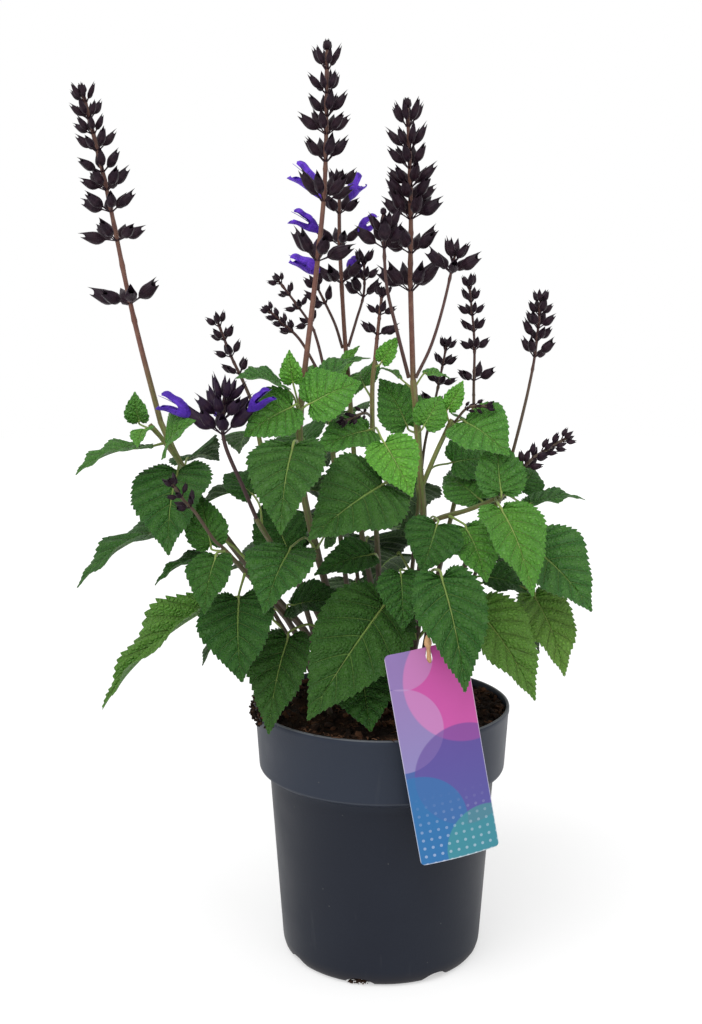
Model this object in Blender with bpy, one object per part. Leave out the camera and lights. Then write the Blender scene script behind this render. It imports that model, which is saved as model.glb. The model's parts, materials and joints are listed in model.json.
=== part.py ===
"""Potted salvia: a nursery pot of soil, leafy square stems, dark flower spikes, violet corollas
and a blank colour label on a stake. Metres, +Z up, origin at the middle of the pot's base."""

import math
import random

import bmesh
import bpy
from mathutils import Matrix, Quaternion, Vector
from mathutils.bvhtree import BVHTree

# Driving sizes
MM = 0.001
CONTACT_GAP = 0.3 * MM
POT_RIM_RADIUS = 85 * MM
POT_HEIGHT = 170 * MM
POT_COLLAR_DEPTH = 42 * MM
POT_COLLAR_TAPER = 2.9 * MM
POT_LEDGE_DROP = 4.5 * MM
POT_SHOULDER_RADIUS = 75.2 * MM
POT_BASE_RADIUS = 60 * MM
POT_WALL = 1.6 * MM
POT_FLOOR = 2 * MM
POT_SIDES = 24
SOIL_SIDES = 18
DRAIN_OPENINGS = 8
DRAIN_WIDTH = 20 * MM
DRAIN_RISE = 5.5 * MM
SOIL_TOP = 165 * MM
SOIL_MOUND = 3 * MM
SOIL_ROUGHNESS = 1.6 * MM
BLADE_THICKNESS = 0.7 * MM
LEAF_CLEARANCE = 0.45 * MM
LEAF_OVER_SOIL = 5 * MM
LEAF_OVER_RIM = 2 * MM
HEEL_WIDTH = 1.4 * MM
PETIOLE_HALF = 0.55 * MM
SHORT_PETIOLE = 20 * MM
TOOTH_DEPTH = 0.05
TOOTH_LEAN = 0.012
LABEL_WIDTH = 50 * MM
LABEL_LENGTH = 133 * MM
LABEL_THICKNESS = 0.6 * MM
LABEL_TOP = Vector((23, -93, 230.5)) * MM
LABEL_TILT = 10
LABEL_TURN = 12
LABEL_CORNER = 3 * MM
LABEL_BOW = 3.5 * MM
LABEL_CURL = 1.6 * MM
LABEL_HOLE_RADIUS = 3.2 * MM
STAKE_FOOT = Vector((34, -52, 138)) * MM
STAKE_TIP = Vector((24, -99.5, 240)) * MM
STAKE_RADIUS = 1.5 * MM
SMALL_CALYX = 14 * MM
STEEPEST_CALYX = 62
KNOT_RADIUS = 1.9 * MM
RANDOM_SEED = 7

# Half of a leaf's outline: along from heel 0 to tip 1, out in half widths
LEAF_OUTLINE = (
    (0, 0), (-0.065, 0.22), (-0.085, 0.42), (-0.03, 0.70), (0.11, 0.93), (0.28, 1.0),
    (0.46, 0.86), (0.63, 0.62), (0.78, 0.36), (0.90, 0.15), (1, 0),
)


def leaf(height, heel, tip, width, front=1.0, on=0, fold=0.22, arch=0.10):
    """A leaf whose heel and tip are placed by hand, in millimetres.

    It grows at a height of its stem or, with on, of a side shoot. front is how far its upper
    face leans towards -Y.
    """
    return {"height": height, "heel": heel, "tip": tip, "width": width, "on": on, "front": front,
            "fold": fold, "arch": arch}


def side_leaf(height, compass, length, on=0, droop=25, stalk=0.4, width=0.78):
    """A leaf that leaves its node towards a compass direction in degrees, on a rising stalk."""
    return {"height": height, "compass": compass, "length": length, "on": on, "droop": droop,
            "stalk": stalk, "width": width * length, "front": 0, "fold": 0.22, "arch": 0.12}


# Leafy stems in millimetres: the first route rises from the soil, the others fork from it
LEAFY_STEMS = {
    "stem_far_left": {
        "routes": [[(-26, 6, 140), (-28, 6, 176), (-52, 8, 216), (-84, 6, 254), (-112, 0, 294),
                    (-131, -8, 331), (-144, -2, 357)],
                   [(-131, -8, 331), (-141, -12, 346), (-149, -14, 356)]],
        "thickness": (2.4, 1.8),
        "leaves": [
            leaf(326, (-130, -26, 328), (-132, -62, 280), 52, front=1.5),
            leaf(326, (-128, 12, 332), (-112, 52, 326), 34, front=0),
            leaf(344, (-154, -20, 342), (-190, -48, 328), 34, front=0.3, on=1),
            leaf(346, (-134, -28, 346), (-110, -46, 361), 30),
            leaf(352, (-156, -12, 358), (-158, -14, 377), 16, front=2, on=1),
            leaf(353, (-150, -26, 354), (-150, -44, 340), 15, on=1),
        ],
    },
    "stem_flower_left": {
        "routes": [[(-18, -12, 140), (-20, -14, 176), (-46, -21, 242), (-68, -30, 277),
                    (-80, -38, 299)]],
        "thickness": (2.1, 1.4),
        "leaves": [
            leaf(292, (-84, -18, 312), (-104, 4, 322), 24, front=0),
            leaf(262, (-62, -14, 276), (-76, 8, 308), 36),
        ],
    },
    "stem_low_left": {
        "routes": [[(-33, -22, 140), (-36, -25, 176), (-58, -34, 228), (-76, -45, 254),
                    (-88, -55, 271), (-99, -60, 284)]],
        "thickness": (1.9, 1.3),
        "leaves": [
            leaf(282, (-107, -52, 285), (-114, -38, 314), 26, front=2),
            leaf(282, (-102, -73, 281), (-107, -92, 250), 28),
            leaf(268, (-112, -42, 276), (-142, -54, 260), 24, front=0),
            leaf(268, (-89, -66, 254), (-86, -86, 207), 48),
            leaf(240, (-108, -50, 246), (-172, -74, 184), 24, front=0.6, fold=0.9),
            leaf(240, (-138, -16, 290), (-193, -42, 256), 42, front=0.2),
            leaf(226, (-62, -35, 242), (-22, -24, 250), 30, front=0.6),
        ],
    },
    "stem_back_left": {
        "routes": [[(-32, 22, 140), (-37, 24, 176), (-62, 30, 262), (-78, 31, 322),
                    (-87, 30, 367)]],
        "thickness": (2.0, 1.3),
        "leaves": [
            side_leaf(338, 110, 46), side_leaf(300, 190, 48), side_leaf(300, 15, 46),
            side_leaf(250, 100, 60),
        ],
    },
    "stem_left_centre": {
        "routes": [[(-12, 22, 140), (-14, 24, 176), (-27, 24, 270), (-33, 18, 340),
                    (-37, 14, 384)]],
        "thickness": (1.9, 1.2),
        "leaves": [
            leaf(372, (-46, 20, 382), (-62, 40, 388), 20, front=0),
            leaf(372, (-28, 20, 386), (-12, 26, 402), 14),
            side_leaf(330, 95, 50), side_leaf(280, 150, 56),
        ],
    },
    "stem_centre": {
        "routes": [[(-10, -10, 140), (-12, -12, 176), (-34, -16, 242), (-50, -22, 308),
                    (-53, -27, 347), (-52, -27, 371)]],
        "thickness": (2.4, 1.9),
        "leaves": [
            leaf(361, (-64, -34, 382), (-92, -46, 376), 30, front=0.4),
            leaf(361, (-40, -16, 384), (-8, 0, 398), 24, front=0.2),
            leaf(366, (-56, -37, 380), (-58, -41, 400), 14, front=2),
            leaf(352, (-60, -44, 368), (-90, -58, 356), 34, front=2),
            leaf(352, (-46, -42, 371), (-14, -34, 384), 34, front=2),
            leaf(334, (-55, -54, 353), (-61, -86, 304), 46),
            leaf(334, (-50, -8, 344), (-54, 22, 350), 34, front=0),
            leaf(276, (-58, -58, 283), (-71, -86, 246), 42),
            leaf(276, (-36, -36, 290), (-18, -54, 306), 30),
        ],
    },
    "stem_middle": {
        "routes": [[(2, 2, 140), (2, 1, 176), (-3, -8, 267), (-6, -11, 320), (-7, -7, 376),
                    (-5, -6, 398)]],
        "thickness": (1.9, 1.3),
        "leaves": [
            leaf(372, (-12, 0, 380), (-22, 26, 394), 28, front=1.5),
            leaf(392, (-1, -10, 396), (10, -12, 412), 12, front=2),
            leaf(352, (-3, -22, 356), (-38, -44, 343), 28, front=0.8),
            leaf(350, (0, -44, 347), (17, -66, 320), 32),
            leaf(316, (-1, -48, 322), (-46, -82, 293), 54, front=1.5),
            side_leaf(316, 60, 44),
            leaf(268, (-8, -26, 274), (-44, -38, 263), 26, front=0.5),
        ],
    },
    "stem_back_centre": {
        "routes": [[(9, 15, 140), (8, 17, 176), (-9, 20, 255), (-16, 23, 302), (-22, 25, 380)]],
        "thickness": (2.0, 1.5),
        "leaves": [
            side_leaf(352, 100, 46), side_leaf(312, 50, 54), side_leaf(262, 85, 60, droop=35),
        ],
    },
    "stem_right": {
        "routes": [[(16, -6, 140), (17, -7, 176), (21, -10, 227), (25, -13, 268), (26, -14, 298),
                    (24, -14, 322), (22, -12, 352), (19, -10, 384)],
                   [(25, -14, 316), (33, -15, 336), (39, -14, 349), (44, -12, 359)],
                   [(26, -14, 290), (36, -23, 297), (54, -27, 303), (73, -28, 311)]],
        "thickness": (2.5, 1.9),
        "leaves": [
            leaf(379, (28, -6, 388), (44, 4, 384), 12, front=0),
            leaf(378, (10, -3, 386), (-3, 6, 391), 10, front=0),
            leaf(350, (16, 6, 354), (-2, 16, 384), 34, front=2),
            leaf(350, (26, -18, 356), (37, -8, 374), 22, front=1.5),
            leaf(355, (52, -14, 358), (78, -36, 338), 42, front=2, on=1),
            leaf(356, (42, -8, 366), (52, -4, 384), 12, on=1),
            leaf(318, (46, 2, 330), (76, 14, 330), 34),
            leaf(284, (32, -56, 298), (22, -68, 270), 36),
            leaf(299, (51, -42, 294), (62, -66, 264), 38, front=1.5, on=2),
            leaf(310, (72, -50, 307), (87, -88, 260), 39, front=1.2, on=2),
            leaf(310, (96, -6, 304), (134, 6, 305), 22, front=0, on=2),
            leaf(311, (73, -40, 316), (72, -26, 352), 32, front=2.5, on=2, arch=-0.08),
            leaf(305, (62, -12, 308), (40, 6, 326), 36, front=1.5, on=2),
        ],
    },
    "stem_right_side": {
        "routes": [[(32, 5, 140), (34, 5, 176), (48, 2, 240), (64, 2, 285), (80, 6, 310),
                    (86, 12, 334)]],
        "thickness": (2.1, 1.4),
        "leaves": [
            leaf(300, (92, 14, 312), (104, 30, 322), 26),
            leaf(276, (91, -32, 282), (128, -58, 244), 52, front=1.2),
            leaf(240, (97, -26, 247), (114, -48, 200), 36, front=1.2),
            leaf(240, (68, -18, 258), (98, -18, 246), 28, front=0.5),
            side_leaf(288, 65, 44),
        ],
    },
    "stem_back_right": {
        "routes": [[(24, 20, 140), (26, 22, 176), (38, 20, 250), (49, 16, 304), (58, 20, 343),
                    (61, 22, 366)]],
        "thickness": (1.9, 1.2),
        "leaves": [
            side_leaf(344, 80, 44), side_leaf(300, 60, 54), side_leaf(262, 20, 46, droop=35),
        ],
    },
    "stem_back_inner": {
        "routes": [[(12, 32, 140), (14, 34, 176), (22, 32, 260), (27, 30, 321)]],
        "thickness": (1.8, 1.2),
        "leaves": [
            side_leaf(300, 95, 50), side_leaf(250, 120, 54, droop=40),
        ],
    },
    "stem_low_front": {
        "routes": [[(12, -26, 140), (13, -29, 176), (20, -38, 214), (26, -48, 262)]],
        "thickness": (1.9, 1.3),
        "leaves": [
            leaf(256, (33, -76, 273), (45, -110, 212), 43),
            leaf(252, (10, -60, 268), (11, -76, 236), 30),
            leaf(222, (58, -50, 244), (92, -74, 192), 40, fold=0.4),
            leaf(222, (0, -56, 248), (-47, -88, 184), 58, front=1.2),
        ],
    },
    "stem_low_front_left": {
        "routes": [[(-16, -31, 140), (-17, -34, 176), (-30, -38, 205), (-40, -38, 234)]],
        "thickness": (1.8, 1.2),
        "leaves": [
            leaf(228, (-60, -52, 226), (-71, -78, 172), 38),
            leaf(196, (-14, -48, 204), (-8, -72, 170), 46),
        ],
    },
    "stem_low_back": {
        "routes": [[(-8, 42, 140), (-9, 46, 176), (-14, 66, 224), (-20, 84, 272)]],
        "thickness": (1.8, 1.2),
        "leaves": [
            side_leaf(264, 30, 54), side_leaf(264, 190, 52), side_leaf(222, 100, 62, droop=45),
        ],
    },
    "stem_low_back_right": {
        "routes": [[(34, 30, 140), (37, 34, 176), (58, 52, 220), (74, 66, 262)]],
        "thickness": (1.8, 1.2),
        "leaves": [
            side_leaf(256, 70, 54), side_leaf(256, 330, 50), side_leaf(216, 10, 56, droop=45),
        ],
    },
    "stem_low_back_left": {
        "routes": [[(-42, 20, 140), (-45, 22, 176), (-70, 38, 214), (-92, 48, 252)]],
        "thickness": (1.8, 1.2),
        "leaves": [
            side_leaf(246, 95, 52), side_leaf(246, 240, 50), side_leaf(210, 170, 56, droop=45),
        ],
    },
}


def crowding(count, start, crowd):
    """Shares of a stem at which whorls stand, closer together towards its tip."""
    last = 0.965
    return [last - (last - start) * (1 - index / (count - 0.6)) ** crowd for index in range(count)]


def spike(route, thickness, whorls, calyx, sides=4, rise=(40, 60)):
    """A flower spike in millimetres, with the shares of its route at which its whorls stand.

    calyx and rise hold the length and the slope in degrees at the lowest and the highest whorl.
    """
    return {"route": route, "thickness": thickness, "whorls": whorls, "calyx": calyx,
            "sides": sides, "rise": rise}


# Flower spikes in millimetres, from the leafy stem that carries each one to its tip
SPIKES = {
    "spike_far_left": spike([(-144, -2, 357.6), (-156, 0, 406), (-164, 0, 444), (-176, 0, 509),
                             (-189, 0, 566)], (1.7, 1.0),
                            (0.362, 0.55, 0.636, 0.70, 0.753, 0.815, 0.865, 0.909, 0.957),
                            (23, 12), sides=6, rise=(28, 60)),
    "spike_centre": spike([(-52, -27, 371.6), (-45, -24, 427), (-38, -20, 489), (-36, -20, 525),
                           (-35, -20, 588)], (1.7, 1.0),
                          (0.404, 0.572, 0.682, 0.756, 0.805, 0.867, 0.932), (22, 14), sides=6,
                          rise=(38, 60)),
    "spike_right": spike([(19, -10, 384.6), (17, -8, 445), (17, -8, 481), (16, -8, 520),
                          (14, -8, 556)], (1.7, 1.0),
                         (0.327, 0.464, 0.586, 0.643, 0.700, 0.767, 0.830, 0.915), (24, 15),
                         sides=6, rise=(38, 60)),
    "spike_right_inner_shoot": spike([(15.8, -10.6, 387), (8, -18, 416), (1, -27, 446),
                                      (-1, -34, 488)], (1.2, 0.8), (0.789, 0.86), (20, 16),
                                     sides=5, rise=(42, 62)),
    "spike_right_outer_shoot": spike([(21.3, -11.5, 386.9), (30, -15, 406), (37, -22, 431),
                                      (44, -26, 464)], (1.1, 0.8), (0.839, 0.92), (19, 15),
                                     sides=5, rise=(34, 62)),
    "spike_back_centre": spike([(-22, 25, 380.6), (-25, 25, 415), (-28, 23, 473), (-28, 20, 515)],
                               (1.5, 1.0), (0.49, 0.672, 0.82, 0.94), (19, 14), rise=(30, 54)),
    "spike_back_centre_left": spike([(-26.7, 24.7, 405), (-31, 18, 419), (-38, 11, 434),
                                     (-44, 7, 446)], (0.9, 0.7), (0.68, 0.90), (14, 12)),
    "spike_back_centre_right": spike([(-21.9, 25.8, 405.9), (-17, 30, 422), (-12, 34, 440),
                                      (-12, 36, 462)], (0.9, 0.7), (0.58, 0.77, 0.94), (15, 11),
                                     rise=(45, 60)),
    "spike_middle": spike([(-5, -6, 398.6), (-4, -5, 410), (-2.5, -5, 424), (-0.5, -4, 441)],
                          (1.3, 0.8), crowding(3, 0.34, 1.2), (13, 9), rise=(34, 58)),
    "spike_left_centre": spike([(-37, 14, 384.6), (-43, 18, 409), (-49, 20, 422), (-70, 20, 450)],
                               (1.0, 0.7), crowding(4, 0.5, 1.2), (10, 8), rise=(34, 58)),
    "spike_left_centre_bud": spike([(-39.2, 13.3, 383.5), (-53, 10, 408), (-64, 9, 419),
                                    (-76, 9, 430)], (0.9, 0.8), crowding(4, 0.62, 1.0), (9, 7),
                                   rise=(50, 62)),
    "spike_back_left": spike([(-87, 30, 367.6), (-94, 30, 384), (-101, 30, 399), (-110, 30, 423)],
                             (1.1, 0.8), crowding(4, 0.35, 1.2), (13, 10), rise=(36, 60)),
    "spike_flower_left": spike([(-80, -38, 299.6), (-87, -42, 318), (-98, -45, 346),
                                (-99, -45, 364), (-97, -45, 380)], (1.2, 1.0),
                               (0.68, 0.79, 0.90), (22, 18), sides=6, rise=(38, 62)),
    "spike_low_left": spike([(-99, -60, 284.6), (-104, -63, 290), (-114, -68, 307),
                             (-121, -72, 316), (-128, -76, 328)], (1.0, 0.8),
                            crowding(3, 0.62, 1.1), (11, 8), rise=(36, 60)),
    "spike_back_right": spike([(61, 22, 366.6), (61, 24, 379), (61, 25, 409), (57, 25, 447)],
                              (1.0, 0.7), (0.20, 0.45, 0.60, 0.73, 0.84, 0.945), (14, 10),
                              rise=(38, 60)),
    "spike_right_side": spike([(86, 12, 334.6), (92, 16, 357), (97, 18, 379), (101, 20, 402),
                               (104, 20, 437)], (1.1, 0.8), (0.63, 0.73, 0.81, 0.89, 0.955),
                              (15, 11), rise=(42, 60)),
    "spike_back_inner": spike([(27, 30, 321.6), (30, 32, 343), (38, 35, 377), (44, 35, 408)],
                              (1.0, 0.7), crowding(4, 0.5, 1.3), (14, 10), rise=(36, 60)),
    "spike_branch_bud": spike([(74.2, -28.1, 311.7), (86, -24, 326), (96, -22, 336),
                               (118, -20, 349)], (1.1, 1.0), crowding(5, 0.42, 1.0), (11, 9),
                              rise=(52, 62)),
    "spike_inner_bud": spike([(46.4, -13, 358.5), (52, -18, 366), (58, -20, 368), (68, -22, 368)],
                             (0.9, 0.9), crowding(3, 0.40, 1.0), (6, 6), rise=(50, 62)),
    "spike_middle_bud": spike([(-8.2, -9.2, 360.9), (-11, -26, 364), (-15, -34, 364),
                               (-27, -42, 359)], (0.9, 0.9), crowding(3, 0.56, 1.0), (6, 6),
                              rise=(50, 62)),
}

# Corollas: the spike that carries each, its whorl, the side of the spike in degrees, its length
COROLLAS = {
    "corolla_centre_1": ("spike_back_centre", 2, 180, 35),
    "corolla_centre_2": ("spike_back_centre", 1, 180, 25),
    "corolla_centre_3": ("spike_back_centre", 0, 180, 32),
    "corolla_centre_4": ("spike_back_centre", 2, 30, 27),
    "corolla_centre_5": ("spike_back_centre", 1, 350, 20),
    "corolla_centre_6": ("spike_back_centre", 0, 20, 18),
    "corolla_left_1": ("spike_flower_left", 0, 185, 30),
    "corolla_left_2": ("spike_flower_left", 0, 85, 20),
    "corolla_left_3": ("spike_flower_left", 0, 350, 25),
}


def make_object(name, mesh_builder, material):
    """Turn a bmesh into a named object that carries a material."""
    mesh = bpy.data.meshes.new(name)
    bmesh.ops.recalc_face_normals(mesh_builder, faces=mesh_builder.faces[:])
    mesh_builder.to_mesh(mesh)
    mesh_builder.free()
    made = bpy.data.objects.new(name, mesh)
    bpy.context.scene.collection.objects.link(made)
    if material:
        mesh.materials.append(material)
    return made


def make_material(name, colour, roughness, metallic=0.0):
    """A Principled material with the part's colour."""
    material = bpy.data.materials.new(name)
    material.use_nodes = True
    shader = material.node_tree.nodes["Principled BSDF"]
    shader.inputs["Base Color"].default_value = (*colour, 1)
    shader.inputs["Roughness"].default_value = roughness
    shader.inputs["Metallic"].default_value = metallic
    return material


def spline(points, steps):
    """Points on a smooth curve through the given ones, with so many steps in each span."""
    knots = [Vector(point) for point in points]
    knots = [2 * knots[0] - knots[1], *knots, 2 * knots[-1] - knots[-2]]
    curve = []
    for before, start, end, after in zip(knots, knots[1:], knots[2:], knots[3:]):
        for step in range(steps):
            t = step / steps
            curve.append(0.5 * (2 * start + t * (end - before)
                                + t * t * (2 * before - 5 * start + 4 * end - after)
                                + t * t * t * (3 * start - before - 3 * end + after)))
    curve.append(knots[-2])
    return curve


def stem_curve(route):
    """A stem's line in metres; side shoots are bent more finely."""
    points = [Vector(point) * MM for point in route]
    if points[0].z > SOIL_TOP:
        return spline(points, 2)
    return points


def at_height(curve, height):
    """The point of a rising curve at a height, and the direction there."""
    for low, high in zip(curve, curve[1:]):
        if low.z <= height <= high.z:
            share = (height - low.z) / max(high.z - low.z, 1e-9)
            return low.lerp(high, share), (high - low).normalized()
    return curve[-1].copy(), (curve[-1] - curve[-2]).normalized()


def along_curve(curve, share):
    """The point at a share of a curve's length, and the direction there."""
    lengths = [(b - a).length for a, b in zip(curve, curve[1:])]
    left = share * sum(lengths)
    for a, b, length in zip(curve, curve[1:], lengths):
        if left <= length:
            return a.lerp(b, left / length), (b - a).normalized()
        left -= length
    return curve[-1].copy(), (curve[-1] - curve[-2]).normalized()


def section_axes(direction):
    """Two directions square to a stem's own direction, steady from bottom to top."""
    first = Vector((1, 0.25, 0))
    first = (first - first.dot(direction) * direction).normalized()
    return first, direction.cross(first)


def ring(bm, centre, direction, radius, sides, start=0.0):
    """A ring of vertices round a stem, the first at the angle start."""
    first, second = section_axes(direction)
    turns = [start + 2 * math.pi * index / sides for index in range(sides)]
    return [bm.verts.new(centre + radius * (math.cos(a) * first + math.sin(a) * second))
            for a in turns]


def bridge(bm, lower, upper):
    """Side faces between two rings."""
    count = len(lower)
    for index in range(count):
        after = (index + 1) % count
        bm.faces.new((lower[index], lower[after], upper[after], upper[index]))


def close(bm, ring_vertices, point):
    """A cone of faces from a ring to a point."""
    apex = bm.verts.new(point)
    count = len(ring_vertices)
    for index in range(count):
        bm.faces.new((ring_vertices[index], ring_vertices[(index + 1) % count], apex))


def tube(bm, curve, radii, sides=4):
    """A closed tube along a curve, tapering evenly from the first radius to the second."""
    previous = None
    last = len(curve) - 1
    for index, point in enumerate(curve):
        ahead = curve[min(index + 1, last)] - curve[max(index - 1, 0)]
        radius = radii[0] + (radii[1] - radii[0]) * index / last
        current = ring(bm, point, ahead.normalized(), radius, sides)
        if previous:
            bridge(bm, previous, current)
        else:
            bm.faces.new(current)
        previous = current
    bm.faces.new(previous)


def leaf_frame(plan, heel, tip):
    """The directions of a blade: along it, across it and out of its upper face."""
    along = (tip - heel).normalized()
    upper = Vector((0, 0, 1)) + 0.5 * Vector((heel.x, heel.y, 0)).normalized()
    upper += plan["front"] * Vector((0, -1, 0))
    upper = (upper - upper.dot(along) * along).normalized()
    return along, upper.cross(along), upper


def outline_point(share):
    """A point of the smooth half outline at a share of its run from heel to tip."""
    knots = len(LEAF_OUTLINE) - 1
    position = share * knots
    span = min(int(position), knots - 1)
    before = LEAF_OUTLINE[max(span - 1, 0)]
    start = LEAF_OUTLINE[span]
    end = LEAF_OUTLINE[span + 1]
    after = LEAF_OUTLINE[min(span + 2, knots)]
    t = position - span
    return tuple(0.5 * (2 * b + t * (c - a) + t * t * (2 * a - 5 * b + 4 * c - d)
                        + t * t * t * (3 * b - a - 3 * c + d))
                 for a, b, c, d in zip(before, start, end, after))


def blade_point(blade, t, v):
    """A point of a blade: t from heel to tip, v across from -1 to 1 in half widths."""
    length = blade["length"]
    half = blade["width"] / 2
    rise = blade["arch"] * length * 4 * t * (1 - t) + blade["fold"] * half * abs(v)
    wave = 0.045 * length * v * v * math.sin(9 * t + blade["phase"] + 1.3 * (v > 0))
    return (blade["heel"] + blade["along"] * length * t + blade["across"] * half * v
            + blade["upper"] * (rise + wave))


def blade_edge(teeth):
    """The toothed points of one half edge, between heel and tip."""
    edge = []
    for index in range(1, 2 * teeth + 1):
        t, v = outline_point(index / (2 * teeth + 1))
        tooth = index % 2 == 0
        edge.append((t + TOOTH_LEAN * tooth, v * (1 + (TOOTH_DEPTH if tooth else -TOOTH_DEPTH))))
    return edge


def half_blade(sheet, blade, side, spine, spine_reach, edge):
    """Triangles between a blade's midrib and one toothed edge."""
    rim = [spine[0]] + [sheet.verts.new(blade_point(blade, t, side * v)) for t, v in edge]
    rim.append(spine[-1])
    rim_reach = [0.0] + [t for t, v in edge] + [1.0]
    inner = 0
    outer = 0
    while inner < len(spine) - 1 or outer < len(rim) - 1:
        rim_is_next = inner == len(spine) - 1 or (
            outer < len(rim) - 1 and rim_reach[outer + 1] <= spine_reach[inner + 1])
        if rim_is_next:
            corners = [spine[inner], rim[outer], rim[outer + 1]]
            outer += 1
        else:
            corners = [spine[inner], rim[outer], spine[inner + 1]]
            inner += 1
        if len(set(corners)) == 3:
            sheet.faces.new(corners if side < 0 else corners[::-1])


def blade_sheet(blade, teeth):
    """A blade as one sheet of triangles, with two vertices at its heel for the petiole."""
    sheet = bmesh.new()
    ribs = 1 + teeth // 2
    reach = [index / (ribs + 1) for index in range(ribs + 2)]
    heel_half = HEEL_WIDTH / blade["width"]
    heels = [sheet.verts.new(blade_point(blade, 0, side * heel_half)) for side in (-1, 1)]
    inner = [sheet.verts.new(blade_point(blade, t, 0)) for t in reach[1:]]
    for side, heel in zip((-1, 1), heels):
        half_blade(sheet, blade, side, [heel, *inner], reach, blade_edge(teeth))
    sheet.faces.new((heels[0], heels[1], inner[0]))
    bmesh.ops.recalc_face_normals(sheet, faces=sheet.faces[:])
    sheet.normal_update()
    if sheet.faces[0].normal.dot(blade["upper"]) < 0:
        bmesh.ops.reverse_faces(sheet, faces=sheet.faces[:])
        sheet.normal_update()
    return sheet, heels


def thicken(sheet, thickness, open_between=()):
    """Give a sheet a wall, half on either face, and return it with the corners left open."""
    body = bmesh.new()
    top = {}
    under = {}
    for vertex in sheet.verts:
        top[vertex] = body.verts.new(vertex.co + vertex.normal * thickness / 2)
        under[vertex] = body.verts.new(vertex.co - vertex.normal * thickness / 2)
    for face in sheet.faces:
        body.faces.new([top[vertex] for vertex in face.verts])
        body.faces.new([under[vertex] for vertex in reversed(face.verts)])
    for border in sheet.edges:
        if not border.is_boundary or set(border.verts) == set(open_between):
            continue
        start, end = border.link_loops[0].vert, border.link_loops[0].link_loop_next.vert
        body.faces.new((top[end], top[start], under[start]))
        body.faces.new((top[end], under[start], under[end]))
    corners = [top[v] for v in open_between] + [under[v] for v in reversed(open_between)]
    sheet.free()
    return body, corners


def leaf_bmesh(blade, stem_radius, teeth):
    """A whole leaf as one closed body: the toothed blade and the petiole that runs to its stem."""
    sheet, heels = blade_sheet(blade, teeth)
    body, previous = thicken(sheet, BLADE_THICKNESS, heels)
    points = petiole_curve(blade, stem_radius)[::-1]
    half = petiole_half(blade)
    rise = blade["upper"]
    for before, here, ahead in zip(points, points[1:], points[2:] + [2 * points[-1] - points[-2]]):
        direction = ((here - before).normalized() + (ahead - here).normalized()).normalized()
        rise = (rise - rise.dot(direction) * direction).normalized()
        side = direction.cross(rise)
        current = [body.verts.new(here + half * (a * side + b * rise))
                   for a, b in ((-1, 1), (1, 1), (1, -1), (-1, -1))]
        bridge(body, previous, current)
        previous = current
    body.faces.new(previous)
    return body


def petiole_half(blade):
    """Half the thickness of a blade's petiole."""
    return PETIOLE_HALF + 0.006 * blade["length"]


def blade_from_plan(plan, curve, index):
    """The heel, tip and shape of a blade, in metres, from its plan in millimetres."""
    node, _ = at_height(curve, plan["height"] * MM)
    if "compass" in plan:
        turn = math.radians(plan["compass"])
        away = Vector((math.cos(turn), math.sin(turn), 0))
        length = plan["length"] * MM
        heel = node + plan["stalk"] * length * (away * 0.88 + Vector((0, 0, 0.48)))
        drop = math.radians(plan["droop"])
        tip = heel + length * (away * math.cos(drop) - Vector((0, 0, math.sin(drop))))
    else:
        heel = Vector(plan["heel"]) * MM
        tip = Vector(plan["tip"]) * MM
    along, across, upper = leaf_frame(plan, heel, tip)
    return {"node": node, "heel": heel, "length": (tip - heel).length, "width": plan["width"] * MM,
            "along": along, "across": across, "upper": upper, "fold": plan["fold"],
            "arch": plan["arch"], "phase": 2.4 * index}


def neck_length(blade):
    """How far a petiole runs straight behind the heel, clear of the blade's lobes."""
    return 1.5 * MM + 0.05 * blade["length"]


def petiole_curve(blade, stem_radius):
    """A petiole's bent line, from inside its stem to the heel of the blade."""
    node = blade["node"]
    neck = blade["heel"] - neck_length(blade) * (blade["along"] + 0.4 * blade["upper"])
    span = (neck - node).length
    away = Vector((neck.x - node.x, neck.y - node.y, 0)).normalized()
    root = node + 0.2 * stem_radius * away
    if span < SHORT_PETIOLE:
        return [root, neck, blade["heel"]]
    bend = 0.16 * span * (Vector((0, 0, 1)) - 0.4 * blade["along"]).normalized()
    return [root, node.lerp(neck, 0.5) + bend, neck, blade["heel"]]


def tree_of_tube(curve, radii):
    """A search tree of a tube."""
    body = bmesh.new()
    tube(body, curve, radii)
    tree = BVHTree.FromBMesh(body)
    body.free()
    return tree


def turned(blade, yaw, pitch, push):
    """A copy of a blade, turned about its heel and pushed out from the stem."""
    changed = dict(blade)
    turn = Quaternion(Vector((0, 0, 1)), math.radians(yaw))
    turn = turn @ Quaternion(blade["across"], math.radians(pitch))
    for key in ("along", "across", "upper"):
        changed[key] = turn @ blade[key]
    changed["heel"] = blade["heel"] + push * MM * blade["along"]
    return changed


def tries():
    """Small changes of a leaf's place, the smallest first."""
    yield 0, 0, 0
    changes = []
    for yaw in (0, -8, 8, -16, 16, -26, 26, -38, 38, -52, 52, -70, 70):
        for pitch in (0, -7, 7, -14, 14, -22, 22, -32, 32, -45, 45):
            for push in (0, 4, -4, 8):
                changes.append((abs(yaw) + abs(pitch) + 3 * abs(push), yaw, pitch, push))
    for _, yaw, pitch, push in sorted(changes):
        yield yaw, pitch, push


def clears_pot(proxy):
    """Whether a leaf stays above the soil and the rim, and outside the pot."""
    for vertex in proxy.verts:
        radius = math.hypot(vertex.co.x, vertex.co.y)
        over_rim = radius > POT_SHOULDER_RADIUS - 2 * LEAF_OVER_RIM
        floor = POT_HEIGHT + LEAF_OVER_RIM if over_rim else SOIL_TOP + LEAF_OVER_SOIL
        if radius < POT_RIM_RADIUS + 2 * LEAF_OVER_RIM and vertex.co.z < floor:
            return False
    return True


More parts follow.
